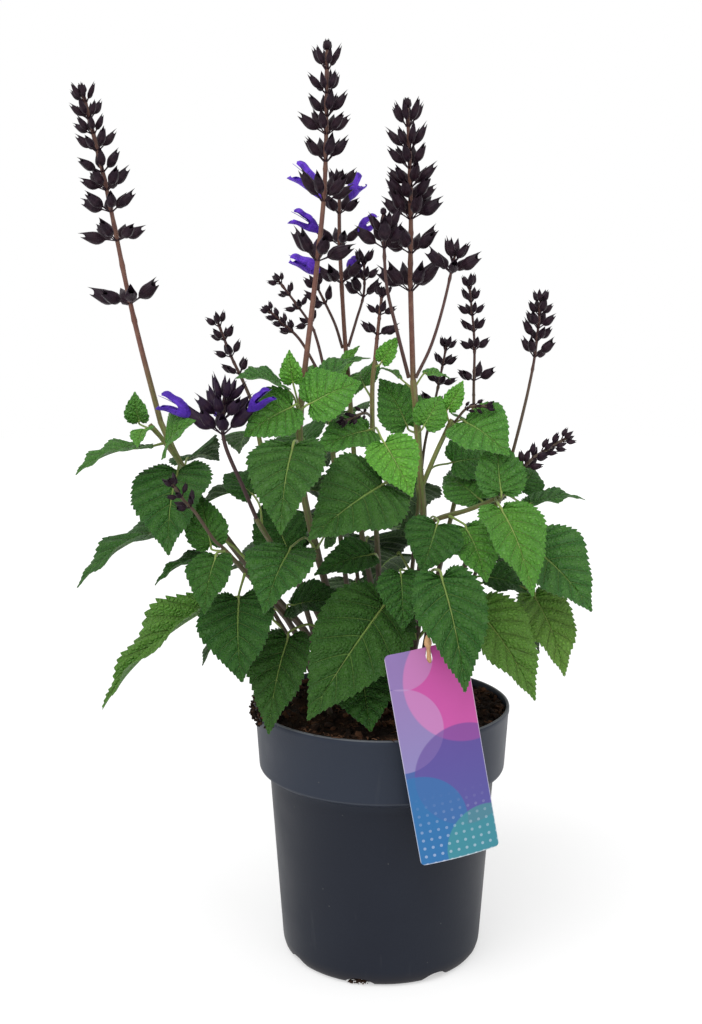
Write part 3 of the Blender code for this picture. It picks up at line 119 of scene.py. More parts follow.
# Leafy stems in millimetres
LEAFY_STEMS = {
    "stem_far_left": stem_plan(
        [[(-26, 6, 140), (-28, 6, 176), (-52, 8, 216), (-84, 6, 254), (-112, 0, 294),
        (-131, -8, 331), (-144, -2, 357)], [(-131, -8, 331), (-141, -12, 346), (-149, -14, 356)]],
        (2.4, 1.8),
        leaf(326, (-130, -26, 328), (-132, -62, 280), 52, front=1.5),
        leaf(326, (-128, 12, 332), (-112, 52, 326), 34, front=0),
        leaf(344, (-154, -20, 342), (-190, -48, 328), 34, front=0.3, on=1, young=0.3),
        leaf(346, (-134, -28, 346), (-110, -46, 361), 30, young=0.5),
        leaf(352, (-156, -12, 358), (-158, -14, 377), 16, front=2, on=1, young=0.5),
        leaf(353, (-150, -26, 354), (-150, -44, 340), 15, on=1, young=0.9)),
    "stem_flower_left": stem_plan(
        [[(-18, -12, 140), (-20, -14, 176), (-46, -21, 242), (-68, -30, 277), (-80, -38, 299)]],
        (2.1, 1.4),
        leaf(292, (-84, -18, 312), (-104, 4, 322), 24, front=0),
        leaf(262, (-62, -14, 276), (-76, 8, 308), 36)),
    "stem_low_left": stem_plan(
        [[(-33, -22, 140), (-36, -25, 176), (-58, -34, 228), (-76, -45, 254), (-88, -55, 271),
        (-99, -60, 284)]], (1.9, 1.3),
        leaf(282, (-107, -52, 285), (-114, -38, 314), 26, front=2, young=0.3),
        leaf(282, (-102, -73, 281), (-107, -92, 250), 28, young=0.2),
        leaf(268, (-112, -42, 276), (-142, -54, 260), 24, front=0),
        leaf(268, (-89, -66, 254), (-86, -86, 207), 48),
        leaf(240, (-108, -50, 246), (-172, -74, 184), 24, front=0.6, fold=0.9, pale=0.65),
        leaf(240, (-138, -16, 290), (-193, -42, 256), 42, front=0.2),
        leaf(226, (-62, -35, 242), (-22, -24, 250), 30, front=0.6)),
    "stem_back_left": stem_plan(
        [[(-32, 22, 140), (-37, 24, 176), (-62, 30, 262), (-78, 31, 322), (-87, 30, 367)]],
        (2.0, 1.3),
        side_leaf(338, 110, 46),
        side_leaf(300, 190, 48),
        side_leaf(300, 15, 46),
        side_leaf(250, 100, 60)),
    "stem_left_centre": stem_plan(
        [[(-12, 22, 140), (-14, 24, 176), (-27, 24, 270), (-33, 18, 340), (-37, 14, 384)]],
        (1.9, 1.2),
        leaf(372, (-46, 20, 382), (-62, 40, 388), 20, front=0, young=0.5),
        leaf(372, (-28, 20, 386), (-12, 26, 402), 14, young=0.9),
        side_leaf(330, 95, 50),
        side_leaf(280, 150, 56)),
    "stem_centre": stem_plan(
        [[(-10, -10, 140), (-12, -12, 176), (-34, -16, 242), (-50, -22, 308), (-53, -27, 347),
        (-52, -27, 371)]], (2.4, 1.9),
        leaf(361, (-64, -34, 382), (-92, -46, 376), 30, front=0.4),
        leaf(361, (-40, -16, 384), (-8, 0, 398), 24, front=0.2),
        leaf(366, (-56, -37, 380), (-58, -41, 400), 14, front=2, young=1.0),
        leaf(352, (-60, -44, 368), (-90, -58, 356), 34, front=2, young=0.45),
        leaf(352, (-46, -42, 371), (-14, -34, 384), 34, front=2, young=0.5),
        leaf(334, (-55, -54, 353), (-61, -86, 304), 46, pale=0.15),
        leaf(334, (-50, -8, 344), (-54, 22, 350), 34, front=0),
        leaf(276, (-58, -58, 283), (-71, -86, 246), 42),
        leaf(276, (-36, -36, 290), (-18, -54, 306), 30)),
    "stem_middle": stem_plan(
        [[(2, 2, 140), (2, 1, 176), (-3, -8, 267), (-6, -11, 320), (-7, -7, 376), (-5, -6, 398)]],
        (1.9, 1.3),
        leaf(372, (-12, 0, 380), (-22, 26, 394), 28, front=1.5, young=0.3),
        leaf(392, (-1, -10, 396), (10, -12, 412), 12, front=2, young=1.0),
        leaf(352, (-3, -22, 356), (-38, -44, 343), 28, front=0.8, young=0.3),
        leaf(350, (0, -44, 347), (17, -66, 320), 32, young=1.0),
        leaf(316, (-1, -48, 322), (-46, -82, 293), 54, front=1.5, pale=0.15),
        side_leaf(316, 60, 44),
        leaf(268, (-8, -26, 274), (-44, -38, 263), 26, front=0.5)),
    "stem_back_centre": stem_plan(
        [[(9, 15, 140), (8, 17, 176), (-9, 20, 255), (-16, 23, 302), (-22, 25, 380)]], (2.0, 1.5),
        side_leaf(352, 100, 46),
        side_leaf(312, 50, 54),
        side_leaf(262, 85, 60, droop=35)),
    "stem_right": stem_plan(
        [[(16, -6, 140), (17, -7, 176), (21, -10, 227), (25, -13, 268), (26, -14, 298),
        (24, -14, 322), (22, -12, 352), (19, -10, 384)], [(25, -14, 316), (33, -15, 336),
        (39, -14, 349), (44, -12, 359)], [(26, -14, 290), (36, -23, 297), (54, -27, 303),
        (73, -28, 311)]], (2.5, 1.9),
        leaf(379, (28, -6, 388), (44, 4, 384), 12, front=0, young=0.5),
        leaf(378, (10, -3, 386), (-3, 6, 391), 10, front=0, young=0.5),
        leaf(350, (16, 6, 354), (-2, 16, 384), 34, front=2, young=0.2),
        leaf(350, (26, -18, 356), (37, -8, 374), 22, front=1.5, young=0.7),
        leaf(355, (52, -14, 358), (78, -36, 338), 42, front=2, on=1, young=0.3),
        leaf(356, (42, -8, 366), (52, -4, 384), 12, on=1, young=1.0),
        leaf(318, (46, 2, 330), (76, 14, 330), 34),
        leaf(284, (32, -56, 298), (22, -68, 270), 36),
        leaf(299, (51, -42, 294), (62, -66, 264), 38, front=1.5, on=2, young=0.6),
        leaf(310, (72, -50, 307), (87, -88, 260), 39, front=1.2, on=2, young=0.8),
        leaf(310, (96, -6, 304), (134, 6, 305), 22, front=0, on=2),
        leaf(311, (73, -40, 316), (72, -26, 352), 32, front=2.5, on=2, arch=-0.08, young=0.25),
        leaf(305, (62, -12, 308), (40, 6, 326), 36, front=1.5, on=2, young=0.2)),
    "stem_right_side": stem_plan(
        [[(32, 5, 140), (34, 5, 176), (48, 2, 240), (64, 2, 285), (80, 6, 310), (86, 12, 334)]],
        (2.1, 1.4),
        leaf(300, (92, 14, 312), (104, 30, 322), 26),
        leaf(276, (91, -32, 282), (128, -58, 244), 52, front=1.2),
        leaf(240, (97, -26, 247), (114, -48, 200), 36, front=1.2, pale=1.0),
        leaf(240, (68, -18, 258), (98, -18, 246), 28, front=0.5),
        side_leaf(288, 65, 44)),
    "stem_back_right": stem_plan(
        [[(24, 20, 140), (26, 22, 176), (38, 20, 250), (49, 16, 304), (58, 20, 343),
        (61, 22, 366)]], (1.9, 1.2),
        side_leaf(344, 80, 44),
        side_leaf(300, 60, 54),
        side_leaf(262, 20, 46, droop=35)),
    "stem_back_inner": stem_plan(
        [[(12, 32, 140), (14, 34, 176), (22, 32, 260), (27, 30, 321)]], (1.8, 1.2),
        side_leaf(300, 95, 50),
        side_leaf(250, 120, 54, droop=40)),
    "stem_low_front": stem_plan(
        [[(12, -26, 140), (13, -29, 176), (20, -38, 214), (26, -48, 262)]], (1.9, 1.3),
        leaf(256, (33, -76, 273), (45, -110, 212), 43),
        leaf(252, (10, -60, 268), (11, -76, 236), 30),
        leaf(222, (58, -50, 244), (92, -74, 192), 40, fold=0.4, pale=0.8),
        leaf(222, (0, -56, 248), (-47, -88, 184), 58, front=1.2, pale=0.2)),
    "stem_low_front_left": stem_plan(
        [[(-16, -31, 140), (-17, -34, 176), (-30, -38, 205), (-40, -38, 234)]], (1.8, 1.2),
        leaf(228, (-60, -52, 226), (-71, -78, 172), 38, pale=0.2),
        leaf(196, (-14, -48, 204), (-8, -72, 170), 46)),
    "stem_low_back": stem_plan(
        [[(-8, 42, 140), (-9, 46, 176), (-14, 66, 224), (-20, 84, 272)]], (1.8, 1.2),
        side_leaf(264, 30, 54),
        side_leaf(264, 190, 52),
        side_leaf(222, 100, 62, droop=45)),
    "stem_low_back_right": stem_plan(
        [[(34, 30, 140), (37, 34, 176), (58, 52, 220), (74, 66, 262)]], (1.8, 1.2),
        side_leaf(256, 70, 54),
        side_leaf(256, 330, 50),
        side_leaf(216, 10, 56, droop=45)),
    "stem_low_back_left": stem_plan(
        [[(-42, 20, 140), (-45, 22, 176), (-70, 38, 214), (-92, 48, 252)]], (1.8, 1.2),
        side_leaf(246, 95, 52),
        side_leaf(246, 240, 50),
        side_leaf(210, 170, 56, droop=45)),
}


def crowding(count, start, crowd):
    """Shares of a stem at which whorls stand, closer together towards its tip."""
    last = 0.965
    return [last - (last - start) * (1 - index / (count - 0.6)) ** crowd for index in range(count)]


def spike(route, thickness, whorls, calyx, sides=4, rise=(40, 60)):
    """A flower spike in millimetres, with the shares of its route at which its whorls stand.

    calyx and rise hold the length and the slope in degrees at the lowest and the highest whorl.
    """
    return {"route": route, "thickness": thickness, "whorls": whorls, "calyx": calyx,
            "sides": sides, "rise": rise}


# Flower spikes in millimetres, from the leafy stem that carries each one to its tip
SPIKES = {
    "spike_far_left": spike(
        [(-144, -2, 357.6), (-156, 0, 406), (-164, 0, 444), (-176, 0, 509), (-189, 0, 566)],
        (1.7, 1.0), (0.362, 0.55, 0.636, 0.70, 0.753, 0.815, 0.865, 0.909, 0.957), (23, 12),
        sides=6, rise=(28, 60)),
    "spike_centre": spike(
        [(-52, -27, 371.6), (-45, -24, 427), (-38, -20, 489), (-36, -20, 525), (-35, -20, 588)],
        (1.7, 1.0), (0.404, 0.572, 0.682, 0.756, 0.805, 0.867, 0.932), (22, 14), sides=6,
        rise=(38, 60)),
    "spike_right": spike(
        [(19, -10, 384.6), (17, -8, 445), (17, -8, 481), (16, -8, 520), (14, -8, 556)], (1.7, 1.0),
        (0.327, 0.464, 0.586, 0.643, 0.700, 0.767, 0.830, 0.915), (24, 15), sides=6, rise=(38, 60)),
    "spike_right_inner_shoot": spike(
        [(15.8, -10.6, 387), (8, -18, 416), (1, -27, 446), (-1, -34, 488)], (1.2, 0.8),
        (0.789, 0.86), (20, 16), sides=5, rise=(42, 62)),
    "spike_right_outer_shoot": spike(
        [(21.3, -11.5, 386.9), (30, -15, 406), (37, -22, 431), (44, -26, 464)], (1.1, 0.8),
        (0.839, 0.92), (19, 15), sides=5, rise=(34, 62)),
    "spike_back_centre": spike(
        [(-22, 25, 380.6), (-25, 25, 415), (-28, 23, 473), (-28, 20, 515)], (1.5, 1.0),
        (0.49, 0.672, 0.82, 0.94), (19, 14), rise=(30, 54)),
    "spike_back_centre_left": spike(
        [(-26.7, 24.7, 405), (-31, 18, 419), (-38, 11, 434), (-44, 7, 446)], (0.9, 0.7),
        (0.68, 0.90), (14, 12)),
    "spike_back_centre_right": spike(
        [(-21.9, 25.8, 405.9), (-17, 30, 422), (-12, 34, 440), (-12, 36, 462)], (0.9, 0.7),
        (0.58, 0.77, 0.94), (15, 11), rise=(45, 60)),
    "spike_middle": spike(
        [(-5, -6, 398.6), (-4, -5, 410), (-2.5, -5, 424), (-0.5, -4, 441)], (1.3, 0.8),
        crowding(3, 0.34, 1.2), (13, 9), rise=(34, 58)),
    "spike_left_centre": spike(
        [(-37, 14, 384.6), (-43, 18, 409), (-49, 20, 422), (-70, 20, 450)], (1.0, 0.7),
        crowding(4, 0.5, 1.2), (10, 8), rise=(34, 58)),
    "spike_left_centre_bud": spike(
        [(-39.2, 13.3, 383.5), (-53, 10, 408), (-64, 9, 419), (-76, 9, 430)], (0.9, 0.8),
        crowding(4, 0.62, 1.0), (9, 7), rise=(50, 62)),
    "spike_back_left": spike(
        [(-87, 30, 367.6), (-94, 30, 384), (-101, 30, 399), (-110, 30, 423)], (1.1, 0.8),
        crowding(4, 0.35, 1.2), (13, 10), rise=(36, 60)),
    "spike_flower_left": spike(
        [(-80, -38, 299.6), (-87, -42, 318), (-98, -45, 346), (-99, -45, 364), (-97, -45, 380)],
        (1.2, 1.0), (0.68, 0.79, 0.90), (22, 18), sides=6, rise=(38, 62)),
    "spike_low_left": spike(
        [(-99, -60, 284.6), (-104, -63, 290), (-114, -68, 307), (-121, -72, 316), (-128, -76, 328)],
        (1.0, 0.8), crowding(3, 0.62, 1.1), (11, 8), rise=(36, 60)),
    "spike_back_right": spike(
        [(61, 22, 366.6), (61, 24, 379), (61, 25, 409), (57, 25, 447)], (1.0, 0.7),
        (0.20, 0.45, 0.60, 0.73, 0.84, 0.945), (14, 10), rise=(38, 60)),
    "spike_right_side": spike(
        [(86, 12, 334.6), (92, 16, 357), (97, 18, 379), (101, 20, 402), (104, 20, 437)], (1.1, 0.8),
        (0.63, 0.73, 0.81, 0.89, 0.955), (15, 11), rise=(42, 60)),
    "spike_back_inner": spike(
        [(27, 30, 321.6), (30, 32, 343), (38, 35, 377), (44, 35, 408)], (1.0, 0.7),
        crowding(4, 0.5, 1.3), (14, 10), rise=(36, 60)),
    "spike_branch_bud": spike(
        [(74.2, -28.1, 311.7), (86, -24, 326), (96, -22, 336), (118, -20, 349)], (1.1, 1.0),
        crowding(5, 0.42, 1.0), (11, 9), rise=(52, 62)),
    "spike_inner_bud": spike(
        [(46.4, -13, 358.5), (52, -18, 366), (58, -20, 368), (68, -22, 368)], (0.9, 0.9),
        crowding(3, 0.40, 1.0), (6, 6), rise=(50, 62)),
    "spike_middle_bud": spike(
        [(-8.2, -9.2, 360.9), (-11, -26, 364), (-15, -34, 364), (-27, -42, 359)], (0.9, 0.9),
        crowding(3, 0.56, 1.0), (6, 6), rise=(50, 62)),
}

# Corollas: the spike that carries each, its whorl, the side of the spike in degrees, its length
COROLLAS = {
    "corolla_centre_1": ("spike_back_centre", 2, 180, 35),
    "corolla_centre_2": ("spike_back_centre", 1, 180, 25),
    "corolla_centre_3": ("spike_back_centre", 0, 180, 32),
    "corolla_centre_4": ("spike_back_centre", 2, 30, 27),
    "corolla_centre_5": ("spike_back_centre", 1, 350, 20),
    "corolla_centre_6": ("spike_back_centre", 0, 20, 18),
    "corolla_left_1": ("spike_flower_left", 0, 185, 30),
    "corolla_left_2": ("spike_flower_left", 0, 85, 20),
    "corolla_left_3": ("spike_flower_left", 0, 350, 25),
}
CLOSED_COROLLAS = ("corolla_centre_3", "corolla_left_2")
VIOLET_SPIKE = "spike_flower_left"


def length_of(name, text, value, low=0.0001, high=2.0):
    """A size property in metres."""
    return FloatProperty(name=name, description=text, default=value, min=low, max=high,
                         unit="LENGTH", precision=4)


def colour_of(name, text, value):
    """A colour property."""
    return FloatVectorProperty(name=name, description=text, default=value, subtype="COLOR",
                               min=0.0, max=1.0, size=3)


class SalviaPotSettings(bpy.types.PropertyGroup):
    """Sizes and colour of the pot."""

    rim_radius: length_of("Rim radius", "Outer radius of the pot's rim", 0.085)
    height: length_of("Height", "Height of the pot", 0.170)
    collar_depth: length_of("Collar depth", "How far the wide collar reaches down", 0.042)
    shoulder_radius: length_of("Shoulder radius", "Outer radius under the collar", 0.0752)
    base_radius: length_of("Base radius", "Radius of the flat base", 0.060)
    wall: length_of("Wall", "Thickness of the plastic wall", 0.0016)
    drain_openings: IntProperty(name="Drain openings", description="Openings round the base",
                                default=8, min=0, max=24)
    colour: colour_of("Plastic colour", "Colour of the moulded plastic", (0.0108, 0.0135, 0.0222))


class SalviaSoilSettings(bpy.types.PropertyGroup):
    """Level, crumbs and colours of the peat."""

    top: length_of("Soil level", "Height of the peat at the wall", 0.165)
    mound: length_of("Mound", "Rise of the peat towards the middle", 0.003)
    crumbs: IntProperty(name="Crumbs", description="Loose crumbs on the peat", default=1100,
                        min=0, max=3000)
    fibres: IntProperty(name="Fibres", description="Loose fibres and bark on the peat",
                        default=420, min=0, max=2000)
    dark: colour_of("Dark peat", "Colour of the damp peat", (0.009, 0.006, 0.0045))
    brown: colour_of("Brown peat", "Colour of the dry crumbs", (0.115, 0.052, 0.027))
    straw: colour_of("Straw", "Colour of the pale fibres", (0.19, 0.095, 0.050))


class SalviaLeafSettings(bpy.types.PropertyGroup):
    """Thickness, teeth and colours of the leaves."""

    thickness: length_of("Thickness", "Thickness of a blade", 0.00045)
    tooth_spacing: length_of("Tooth spacing", "Distance between the teeth of an edge", 0.0029)
    tooth_depth: length_of("Tooth depth", "Depth of a tooth of a large leaf", 0.0017)
    mature: colour_of("Mature green", "Upper face of a grown leaf", (0.032, 0.150, 0.018))
    young: colour_of("Young green", "Upper face of a young leaf", (0.098, 0.335, 0.026))
    old: colour_of("Old green", "Upper face of an old leaf", (0.145, 0.275, 0.045))
    under: colour_of("Under face", "Pale lower face of a leaf", (0.125, 0.230, 0.090))
    vein: colour_of("Vein", "Colour of the main veins", (0.25, 0.42, 0.10))


class SalviaStemSettings(bpy.types.PropertyGroup):
    """Colours of the stems."""

    green: colour_of("Green stem", "Colour of the leafy stems", (0.105, 0.160, 0.032))
    brown: colour_of("Brown stem", "Colour of the flower stems", (0.15, 0.058, 0.040))
    dark: colour_of("Dark stem", "Colour of the thin side stems", (0.045, 0.018, 0.020))


class SalviaFlowerSettings(bpy.types.PropertyGroup):
    """Colours and sizes of calyces and corollas."""

    calyx: colour_of("Calyx", "Colour of a calyx", (0.0110, 0.0042, 0.0105))
    calyx_light: colour_of("Calyx edge", "Colour of a calyx along its ribs", (0.046, 0.025, 0.040))
    violet: colour_of("Violet", "Main colour of a corolla", (0.125, 0.034, 0.54))
    deep_violet: colour_of("Deep violet", "Colour of a corolla's folds", (0.050, 0.013, 0.27))
    pale_violet: colour_of("Pale violet", "Colour of a corolla's throat", (0.50, 0.42, 0.80))
    petal_thickness: length_of("Petal thickness", "Thickness of a petal", 0.0003)
    pedicel_radius: length_of("Pedicel radius", "Radius of a calyx's stalk", 0.00042)


class SalviaLabelSettings(bpy.types.PropertyGroup):
    """Size and colours of the label."""

    width: length_of("Width", "Width of the card", 0.050)
    length: length_of("Length", "Length of the card", 0.133)
    thickness: length_of("Thickness", "Thickness of the card", 0.0005)
    corner: length_of("Corner", "Radius of the card's corners", 0.003)
    bow: length_of("Bow", "How far the card bends along its length", 0.0035)
    curl: length_of("Curl", "How far the card's edges bend back", 0.0016)
    hole_radius: length_of("Hole radius", "Radius of the hole for the stake", 0.0019)
    violet: colour_of("Violet", "Colour at the card's upper side", (0.105, 0.055, 0.26))
    rose: colour_of("Rose", "Colour of the upper shapes", (0.54, 0.075, 0.31))
    blue: colour_of("Blue", "Colour of the lower shapes", (0.022, 0.135, 0.33))
    lilac: colour_of("Lilac", "Colour of the pale shapes", (0.42, 0.30, 0.52))


class SalviaStakeSettings(bpy.types.PropertyGroup):
    """Size and colour of the stake."""

    radius: length_of("Radius", "Radius of the stake", 0.0015)
    colour: colour_of("Wood", "Colour of the pale wood", (0.60, 0.36, 0.17))


class SalviaStageSettings(bpy.types.PropertyGroup):
    """Floor, light and camera."""

    floor_radius: length_of("Floor radius", "Radius of the pale floor", 4.0, high=50.0)
    floor_colour: colour_of("Floor colour", "Colour of the floor", (0.52, 0.52, 0.52))
    floor_glow: FloatProperty(name="Floor glow", description="Light that the floor itself gives",
                              default=0.5, min=0.0, max=2.0)
    sky_light: FloatProperty(name="Sky light", description="Strength of the even light",
                             default=0.70, min=0.0, max=10.0)
    key_light: FloatProperty(name="Key light", description="Strength of the main lamp",
                             default=1.75, min=0.0, max=20.0)
    fill_light: FloatProperty(name="Fill light", description="Strength of the second lamp",
                              default=0.45, min=0.0, max=20.0)
    lens: FloatProperty(name="Lens", description="Focal length of the camera",
                        default=44.47, min=10.0, max=300.0, unit="CAMERA")


class SalviaSettings(bpy.types.PropertyGroup):
    """All that a user may change."""

    pot: PointerProperty(type=SalviaPotSettings)
    soil: PointerProperty(type=SalviaSoilSettings)
    leaves: PointerProperty(type=SalviaLeafSettings)
    stems: PointerProperty(type=SalviaStemSettings)
    flowers: PointerProperty(type=SalviaFlowerSettings)
    label: PointerProperty(type=SalviaLabelSettings)
    stake: PointerProperty(type=SalviaStakeSettings)
    stage: PointerProperty(type=SalviaStageSettings)


# Node helpers


def new_material(name):
    """A Principled material, its node tree and its shader."""
    material = bpy.data.materials.new(name)
    material.use_nodes = True
    tree = material.node_tree
    return material, tree, tree.nodes["Principled BSDF"]


def feed(tree, socket, value):
    """Give a socket a number, a colour or another node's output."""
    if isinstance(value, bpy.types.NodeSocket):
        tree.links.new(value, socket)
    elif hasattr(socket.default_value, "__len__") and len(value) == 3 and socket.type == "RGBA":
        socket.default_value = (*value, 1.0)
    else:
        socket.default_value = value


def feed_all(tree, node, values):
    """Give several inputs of a node their values."""
    for key, value in values.items():
        feed(tree, node.inputs[key], value)


def put(tree, kind, values=None, **settings):
    """A new node with its settings and inputs."""
    made = tree.nodes.new("ShaderNode" + kind)
    for key, value in settings.items():
        setattr(made, key, value)
    feed_all(tree, made, values or {})
    return made


def calc(tree, operation, *values):
    """The result of a sum on numbers or outputs."""
    made = put(tree, "Math", operation=operation)
    for socket, value in zip(made.inputs, values):
        feed(tree, socket, value)
    return made.outputs[0]


def times(tree, first, second):
    """The product of two numbers or outputs."""
    return calc(tree, "MULTIPLY", first, second)


def blend(tree, factor, first, second):
    """A mix of two colours."""
    made = put(tree, "Mix", data_type="RGBA")
    feed(tree, made.inputs[0], factor)
    feed(tree, made.inputs[6], first)
    feed(tree, made.inputs[7], second)
    return made.outputs[2]


def step_between(tree, value, low, high, start=0.0, end=1.0):
    """A smooth step from start to end as a value runs from low to high."""
    made = put(tree, "MapRange", {"Value": value, "From Min": low, "From Max": high,
                                  "To Min": start, "To Max": end},
               interpolation_type="SMOOTHSTEP")
    return made.outputs[0]


def noise_on(tree, place, scale, detail, roughness=0.5):
    """Noise of a scale, from 0 to 1."""
    return put(tree, "TexNoise", {"Vector": place, "Scale": scale, "Detail": detail,
                                  "Roughness": roughness}).outputs["Fac"]


def uv_parts(tree):
    """The two coordinates of a piece's UV map."""
    apart = put(tree, "SeparateXYZ", {"Vector": put(tree, "UVMap", uv_map="surface").outputs[0]})
    return apart.outputs[0], apart.outputs[1]


def tone_parts(tree):
    """The red, green and blue of the tone attribute of a piece."""
    tone = put(tree, "Attribute", attribute_name="tone")
    apart = put(tree, "SeparateColor", {"Color": tone.outputs["Color"]})
    return apart.outputs[0], apart.outputs[1], apart.outputs[2]


def place_of(tree):
    """A point's place on the object."""
    return put(tree, "TexCoord").outputs["Object"]


def bump(tree, shader, height, strength, distance):
    """Give a shader a relief from a height."""
    made = put(tree, "Bump", {"Height": height, "Strength": strength, "Distance": distance})
    tree.links.new(made.outputs[0], shader.inputs["Normal"])


# Mesh helpers


def patch(bm, across, along, place, layers=None, tone=None):
    """A grid of cells bent to a surface; place gives the point of each column and row."""
    made = bmesh.ops.create_grid(bm, x_segments=across, y_segments=along, size=0.5)
    spots = {}
    for index, vertex in enumerate(made["verts"]):
        spot = (index % (across + 1), index // (across + 1))
        spots[vertex] = spot
        vertex.co = place(*spot)
        if tone:
            vertex[layers["tone"]] = tone(*spot)
    faces = list(dict.fromkeys(f for v in made["verts"] for f in v.link_faces))
    if layers:
        for face in faces:
            face.smooth = True
            for loop in face.loops:
                column, row = spots[loop.vert]
                loop[layers["uv"]].uv = (column / across, row / along)
    return made["verts"], faces


def weld(bm, vertices):
    """Close the seam and the poles of a patch that meets itself."""
    bmesh.ops.remove_doubles(bm, verts=vertices, dist=SEAM)


def start_mesh():
    """An empty mesh builder with a UV map and a tone for each vertex."""
    bm = bmesh.new()
    layers = {"uv": bm.loops.layers.uv.new("surface"),
              "tone": bm.verts.layers.float_color.new("tone")}
    return bm, layers


def finish_piece(bm, name, materials, nodes, sharp=50):
    """Turn a mesh builder into a piece that stands for CAD nodes."""
    mesh = bpy.data.meshes.new(name)
    bm.to_mesh(mesh)
    bm.free()
    mesh.set_sharp_from_angle(angle=math.radians(sharp))
    for material in materials:
        mesh.materials.append(material)
    piece = bpy.data.objects.new(name, mesh)
    bpy.context.scene.collection.objects.link(piece)
    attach(piece, "root")
    if nodes:
        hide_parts(*nodes)
    return piece


def spline(points, steps):
    """Points on a smooth curve through the given ones, with so many steps in each span."""
    knots = [Vector(point) for point in points]
    knots = [2 * knots[0] - knots[1], *knots, 2 * knots[-1] - knots[-2]]
    curve = []
    for before, start, end, after in zip(knots, knots[1:], knots[2:], knots[3:]):
        for step in range(steps):
            t = step / steps
            curve.append(0.5 * (2 * start + t * (end - before)
                                + t * t * (2 * before - 5 * start + 4 * end - after)
                                + t * t * t * (3 * start - before - 3 * end + after)))
    curve.append(knots[-2])
    return curve


def stem_curve(route):
    """A stem's line in metres; side shoots are bent more finely."""
    points = [Vector(point) * MM for point in route]
    if points[0].z > LOWEST_FORK:
        return spline(points, 2)
    return points


def at_height(curve, height):
    """The point of a rising curve at a height, and the direction there."""
    for low, high in zip(curve, curve[1:]):
        if low.z <= height <= high.z:
            share = (height - low.z) / max(high.z - low.z, 1e-9)
            return low.lerp(high, share), (high - low).normalized()
    return curve[-1].copy(), (curve[-1] - curve[-2]).normalized()


def along_curve(curve, share):
    """The point at a share of a curve's length, and the direction there."""
    lengths = [(b - a).length for a, b in zip(curve, curve[1:])]
    left = share * sum(lengths)
    for a, b, length in zip(curve, curve[1:], lengths):
        if left <= length:
            return a.lerp(b, left / length), (b - a).normalized()
        left -= length
    return curve[-1].copy(), (curve[-1] - curve[-2]).normalized()


def section_axes(direction):
    """Two directions square to a stem's own direction, steady from bottom to top."""
    first = Vector((1, 0.25, 0))
    first = (first - first.dot(direction) * direction).normalized()
    return first, direction.cross(first)


def round_about(turn, first, second):
    """The direction at a turn between two directions that are square to each other."""
    return math.cos(turn) * first + math.sin(turn) * second


def around_axis(radius, turn, height=0.0):
    """The point at a radius, a turn and a height round the pot's own axis."""
    return Vector((radius * math.cos(turn), radius * math.sin(turn), height))


def smoothstep(low, high, value):
    """A smooth step from 0 to 1."""
    share = min(max((value - low) / (high - low), 0.0), 1.0)
    return share * share * (3 - 2 * share)


def stem_tube(bm, layers, curve, radius, tone, sides=12, squareness=0.10):
    """A closed, rounded square stem along a curve; radius and tone take a share of its run."""
    last = len(curve) - 1
    frames = []
    for index, point in enumerate(curve):
        ahead = curve[min(index + 1, last)] - curve[max(index - 1, 0)]
        frames.append((point, *section_axes(ahead.normalized())))

    def place(column, row):
        point, first, second = frames[min(max(row - 1, 0), last)]
        if row in (0, last + 2):
            return point
        turn = 2 * math.pi * column / sides
        size = radius((row - 1) / last) * (1 + squareness * math.cos(4 * turn))
        return point + size * round_about(turn, first, second)

    def shade(column, row):
        return tone(min(max(row - 1, 0), last) / last)

    vertices, _ = patch(bm, sides, last + 2, place, layers, shade)
    weld(bm, vertices)


# Leaves


def leaf_frame(plan, heel, tip):
    """The directions of a blade: along it, across it and out of its upper face."""
    along = (tip - heel).normalized()
    upper = UP + 0.5 * Vector((heel.x, heel.y, 0)).normalized()
    upper += plan["front"] * Vector((0, -1, 0))
    upper = (upper - upper.dot(along) * along).normalized()
    return along, upper.cross(along), upper


def outline_point(share):
    """A point of the smooth half outline at a share of its run from heel to tip."""
    knots = len(LEAF_OUTLINE) - 1
    position = share * knots
    span = min(int(position), knots - 1)
    before = LEAF_OUTLINE[max(span - 1, 0)]
    start = LEAF_OUTLINE[span]
    end = LEAF_OUTLINE[span + 1]
    after = LEAF_OUTLINE[min(span + 2, knots)]
    t = position - span
    return tuple(0.5 * (2 * b + t * (c - a) + t * t * (2 * a - 5 * b + 4 * c - d)
                        + t * t * t * (3 * b - a - 3 * c + d))
                 for a, b, c, d in zip(before, start, end, after))


def blade_point(blade, t, v):
    """A point of a blade: t from heel to tip, v across from -1 to 1 in half widths."""
    length = blade["length"]
    half = blade["width"] / 2
    rise = blade["arch"] * length * 4 * t * (1 - t) + blade["fold"] * half * abs(v)
    wave = 0.045 * length * v * v * math.sin(9 * t + blade["phase"] + 1.3 * (v > 0))
    return (blade["heel"] + blade["along"] * length * t + blade["across"] * half * v
            + blade["upper"] * (rise + wave))


def solid_edge(blade):
    """The points of a blade's edge that the part's own solid has."""
    teeth = 5
    for count, limit in ((4, 64), (3, 41), (2, 26)):
        if blade["length"] < limit * MM:
            teeth = count
    points = [blade_point(blade, 1, 0)]
    for index in range(1, 2 * teeth + 1):
        t, v = outline_point(index / (2 * teeth + 1))
        tooth = index % 2 == 0
        depth = 1 + (SOLID_TOOTH_DEPTH if tooth else -SOLID_TOOTH_DEPTH)
        for side in (-1, 1):
            points.append(blade_point(blade, t + SOLID_TOOTH_LEAN * tooth, side * v * depth))
    return points


